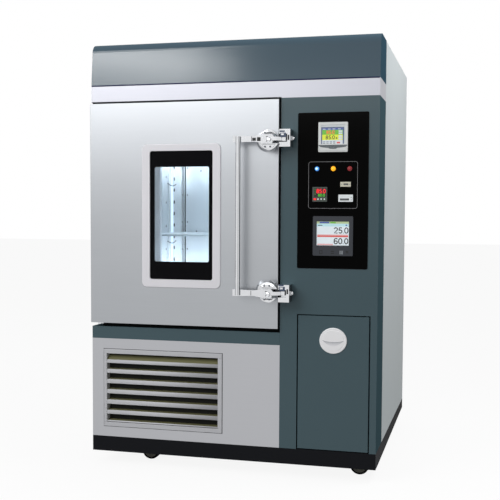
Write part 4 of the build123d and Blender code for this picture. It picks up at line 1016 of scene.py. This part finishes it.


# Latches: caps over the ears, dark slabs of painted shade in the seams, slots and grooves of the levers, faces of the
# strikes with painted shade in their recesses

capSet = {
    "centres": ((1119.0, (18.8, 10.8)), (623.5, (11.2, 18.2))),   # z, and the cuts above and below it
    "x": 149.0,
    "radius": 33.0,
    "face": -512.0,
    "back": -506.0,
    "inside": (4.5, 2.6, 1.0, -1.2),      # of the raised middle: smaller, cut further, back and face
    "steps": 20,
    "rim": (2.2, 3),
    "screws": (-11.5, 5.5),
    "screwRise": 22.2,
    "screwBack": 1.0,
    "screw": (3.3, 1.6, 3.3),
}
leverSet = {
    "heights": (1123.0, 620.0),
    "face": -507.0,
    # the seam, slot and groove marks are dark slabs of painted shade
    "seam": ((90.0, 91.6), (-0.5, 1.0), (-8.0, 8.0)),
    "upperMarks": (((93.0, 105.0), (-0.8, 1.0), (-6.5, 3.5)), ((109.0, 121.0), (-0.8, 1.0), (-7.5, 5.0))),
    "upperCorner": 0.6,
    "pin": (149.0, -3.0, (8.0, 3.6, 8.0)),
    "slots": (((139.0, 144.5), (5.5, 7.9)), ((139.5, 145.0), (-9.0, -6.6)), ((160.0, 165.5), (-9.0, -6.6))),
    "slotDepth": (-0.6, 1.0),
}
strikeSet = {
    "heights": (1123.0, 623.0),
    "face": -497.0,
    "marks": (   # x, depth, height, look, rounding
        # the blue recess slabs and the dark notch are painted shade in the strike's recesses
        ((181.5, 199.0), (-0.5, 1.5), (21.5, 26.5), "recessBlue", 0.4),
        ((183.5, 203.0), (-0.5, 1.5), (5.5, 19.5), "recessBlue", 0.4),
        ((208.5, 214.0), (-0.5, 1.5), (-4.0, 12.0), "inkDark", 0.4),
        ((186.0, 197.0), (-1.6, 1.0), (11.0, 17.5), "chromePlate", 1.2),
    ),
}


def shifted(pair, start):
    return [v + start for v in pair]


def makeLatchCaps():
    caps = Piece("latchCaps", "main_door", "chromePlate", "screwDark")
    x, face, (smaller, further, back, proud) = capSet["x"], capSet["face"], capSet["inside"]

    def segment(z, way, radius, cut, back, face):
        # the part of a round cap beyond a cut, with its front rim rounded
        reach, steps = math.acos(cut / radius), capSet["steps"]
        turns = [-reach + 2 * reach * i / steps for i in range(steps + 1)]
        _, rim = caps.prism([(x + radius * math.sin(turn), back, z + way * radius * math.cos(turn))
                             for turn in turns], (0, face - back, 0))
        caps.roundRim(rim, *capSet["rim"])
        bmesh.ops.recalc_face_normals(caps.shape, faces=caps.shape.faces[:])

    for z, cuts in capSet["centres"]:
        for way, cut in zip((1, -1), cuts):
            segment(z, way, capSet["radius"], cut, capSet["back"], face)
            segment(z, way, capSet["radius"] - smaller, cut + further, face + back, face + proud)
            for aside in capSet["screws"]:
                caps.dome((x + aside, face - capSet["screwBack"], z + way * capSet["screwRise"]), capSet["screw"],
                          "screwDark")
    caps.done()


def makeLeverSeams():
    seams = Piece("leverSeams", "door_latch", "chromePlate", "inkDark")
    face, upper = leverSet["face"], leverSet["heights"][0]
    for z in leverSet["heights"]:
        for x, y, high in (leverSet["seam"], *((x, leverSet["slotDepth"], high) for x, high in leverSet["slots"])):
            seams.slab(x, shifted(y, face), shifted(high, z), "inkDark")
        x, drop, radii = leverSet["pin"]
        seams.dome((x, face, z + drop), radii, "chromePlate")
    for x, y, high in leverSet["upperMarks"]:
        seams.slab(x, shifted(y, face), shifted(high, upper), "inkDark", leverSet["upperCorner"])
    seams.done()


makeLatchCaps()
makeLeverSeams()
makeOfSlabs("strikeFaces", "cabinet", [(x, shifted(y, strikeSet["face"]), shifted(high, z), *rest)
                                       for z in strikeSet["heights"] for x, y, high, *rest in strikeSet["marks"]])
print("latch details made")


# Joints and gaps: dark slabs of painted shade in the gaps round the hood, the trim, the doors and the louvre

gapSet = {
    "lines": (
        ((-498.5, 498.5), (-449.45, -448.5), (1316.0, 1320.2), "navyLine"),
        ((-496.0, 176.0), (-447.0, -445.0), (1256.4, 1260.9), "sealRubber"),
        ((-498.0, 176.0), (-449.5, -448.5), (1261.1, 1263.4), "sealRubber"),
        ((-462.0, 175.0), (-441.0, -436.0), (485.2, 496.5), "sealRubber", 1.5),
        ((230.5, 233.8), (-447.2, -424.5), (99.0, 553.0), "sealRubber", 0.4),
        ((230.5, 246.0), (-427.5, -424.5), (99.0, 553.0), "sealRubber", 0.4),
        ((230.5, 440.0), (-447.2, -424.5), (550.2, 553.0), "sealRubber", 0.4),
        ((230.5, 440.0), (-427.5, -424.5), (541.0, 553.0), "sealRubber", 0.4),
    ),
    "louvreEdge": 1.5,
    "louvreDepth": (-449.5, -448.5),
}


def makeGapLines():
    wide, ((x0, x1), (z0, z1)) = gapSet["louvreEdge"], louvreSet["outer"]
    tall = (z0 - wide, z1 + wide)
    edges = (((x0 - wide, x0), tall), ((x1, x1 + wide), tall), ((x0, x1), (z0 - wide, z0)), ((x0, x1), (z1, z1 + wide)))
    makeOfSlabs("gapLines", "cabinet", [*gapSet["lines"],
                                        *((x, gapSet["louvreDepth"], z, "sealRubber") for x, z in edges)])


# Pull: a shallow oval cup with a shaded finger hollow

pullSet = {
    "centre": (356.0, 465.0),
    "rim": ((45.6, 42.8), (-436.0, -452.4), 2.2),
    "middle": ((36.5, 34.5), (-435.0, -453.0), 0.9),
    "middleRise": 0.5,
    "half": 35.5,
    "line": 0.8,
    "dip": 4.9,
    "deep": 17.5,
    "steps": 32,
    "hollow": (-453.15, 1.2),             # y, and thickness
    "light": ((192, 194, 198), (236, 236, 240), 1.15),    # from the top edge down, and how fast it changes
    "shade": ((132, 136, 142), 7),
}


def shadedHollow():
    made = newFinish("pullHollow")
    across, _, high = made.axes("Object")
    x, z = pullSet["centre"]
    side = (across - x / 1000) / (pullSet["half"] / 1000)
    bow = 1 - side * side
    top = (z + pullSet["line"]) / 1000 - bow * (pullSet["dip"] / 1000)
    fall = (top - high) / ((pullSet["deep"] - pullSet["dip"]) / 1000)
    (first, last, pace), (edge, edgePace) = pullSet["light"], pullSet["shade"]
    soft = made.blend((fall * pace).atMost(1), fromScreen(*first), fromScreen(*last))
    tone = made.blend((fall * edgePace).atMost(1), fromScreen(*edge), soft)
    return made.done(made.surface(Base_Color=tone, Roughness=0.4, Specular_IOR_Level=0.3))


def makePull():
    finishes["pullHollow"] = shadedHollow()
    pull = Piece("pullFace", "service_door", "pullWhite", "pullHollow")
    x, z = pullSet["centre"]
    pull.oval(x, z, *pullSet["rim"])
    pull.oval(x, z + pullSet["middleRise"], *pullSet["middle"])
    half, steps, (y, thick) = pullSet["half"], pullSet["steps"], pullSet["hollow"]
    parts = [2 * i / steps - 1 for i in range(steps + 1)]
    upper, lower = ([(x + t * half, y, z + pullSet["line"] - pullSet[key] * (1 - t * t)) for t in parts]
                    for key in ("dip", "deep"))
    pull.prism(upper + lower[-2:0:-1], (0, thick, 0), "pullHollow")
    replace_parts(pull.done(), "pull_cup")


# Wheels: hubs inside the treads

hubSet = {"radius": 25.0, "proud": 0.4}


def makeHub(corner):
    low, high = ([v * 1000 for v in spot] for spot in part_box(f"caster_wheel_{corner}"))
    spans = [b - a for a, b in zip(low, high)]
    axis = spans.index(min(spans))
    start, end = ([(a + b) / 2 for a, b in zip(low, high)] for _ in range(2))
    start[axis] = low[axis] - hubSet["proud"]
    end[axis] = high[axis] + hubSet["proud"]
    hub = Piece(f"hub_{corner}", f"wheel_{corner}", "hubGrey")
    hub.rod(start, end, hubSet["radius"])
    hub.done()


makeGapLines()
makePull()
for corner in corners:
    makeHub(corner)
print("gap lines, pull and hubs made")


# Stage: pale floor, backdrop that is white for rays that show it, soft boxes

stageSet = {
    "floor": 30.0,                        # half its size, m
    "floorTone": 0.16,
    "floorSeen": 0.8,
    "floorWhite": 0.9,
    "skyTop": 0.52,
    "skyLow": 0.2,
}
boxSet = {   # place, target and size in metres, power in watts
    "keyBox": ((-2.7, -3.2, 3.3), (-0.2, 0, 1.2), (3.4, 1.7), 92.0),
    "frontStrip": ((-1.3, -3.9, 2.06), (-0.1, 0, 0.9), (4.2, 0.75), 25.9),
    "hoodStrip": ((-1.86, -3.9, 2.75), (-0.2, -0.45, 1.38), (1.6, 0.15), 9.3),
    "sideBox": ((1.6, -0.1, 2.6), (0.5, 0, 1.3), (1.0, 1.0), 34.0),
    "chamberTopLight": ((-0.165, -0.335, 1.13), (-0.2, 0.25, 1.02), (0.4, 0.06), 1.05),
    "chamberFootLight": ((-0.165, -0.335, 0.6), (-0.2, 0.25, 0.72), (0.4, 0.06), 2.5),
}


def makeStage():
    mesh = bpy.data.meshes.new("studioFloor")
    shape = bmesh.new()
    bmesh.ops.create_grid(shape, x_segments=1, y_segments=1, size=stageSet["floor"])
    shape.to_mesh(mesh)
    shape.free()
    floor = bpy.data.objects.new("studioFloor", mesh)
    bpy.context.collection.objects.link(floor)
    made = newFinish("floorPaint")
    seen = made.seen()
    tone = made.blend(made.noise(2, detail=1), grey(stageSet["floorTone"] - 0.01), grey(stageSet["floorTone"]))
    matte = made.surface(Base_Color=made.blend(seen, tone, grey(stageSet["floorSeen"])), Roughness=0.9)
    white = made.node("ShaderNodeEmission", values={"Color": grey(1), "Strength": 1.0})
    floor.data.materials.append(made.done(made.mix(seen * stageSet["floorWhite"], matte, white)))


def makeSky():
    bpy.context.scene.world = bpy.data.worlds.new("studioSky")
    sky = Finish(bpy.context.scene.world, "ShaderNodeOutputWorld")
    height, seen = sky.axes("Generated")[2], sky.seen()
    level = sky.fade(height, -0.25, 0.35, stageSet["skyLow"], stageSet["skyTop"])
    both = level * (1 - seen) + seen
    sky.done(sky.node("ShaderNodeBackground", values={"Color": grey(1), "Strength": both}))


def softBox(name, place, target, size, power):
    data = bpy.data.lights.new(name, "AREA")
    data.shape = "RECTANGLE"
    data.size, data.size_y = size
    data.energy = power
    lamp = bpy.data.objects.new(name, data)
    lamp.location = place
    lamp.rotation_euler = (Vector(target) - Vector(place)).to_track_quat("-Z", "Y").to_euler()
    bpy.context.collection.objects.link(lamp)


makeStage()
makeSky()
for name, values in boxSet.items():
    softBox(name, *values)
print("stage set")

bpy.context.scene.view_settings.view_transform = "Standard"
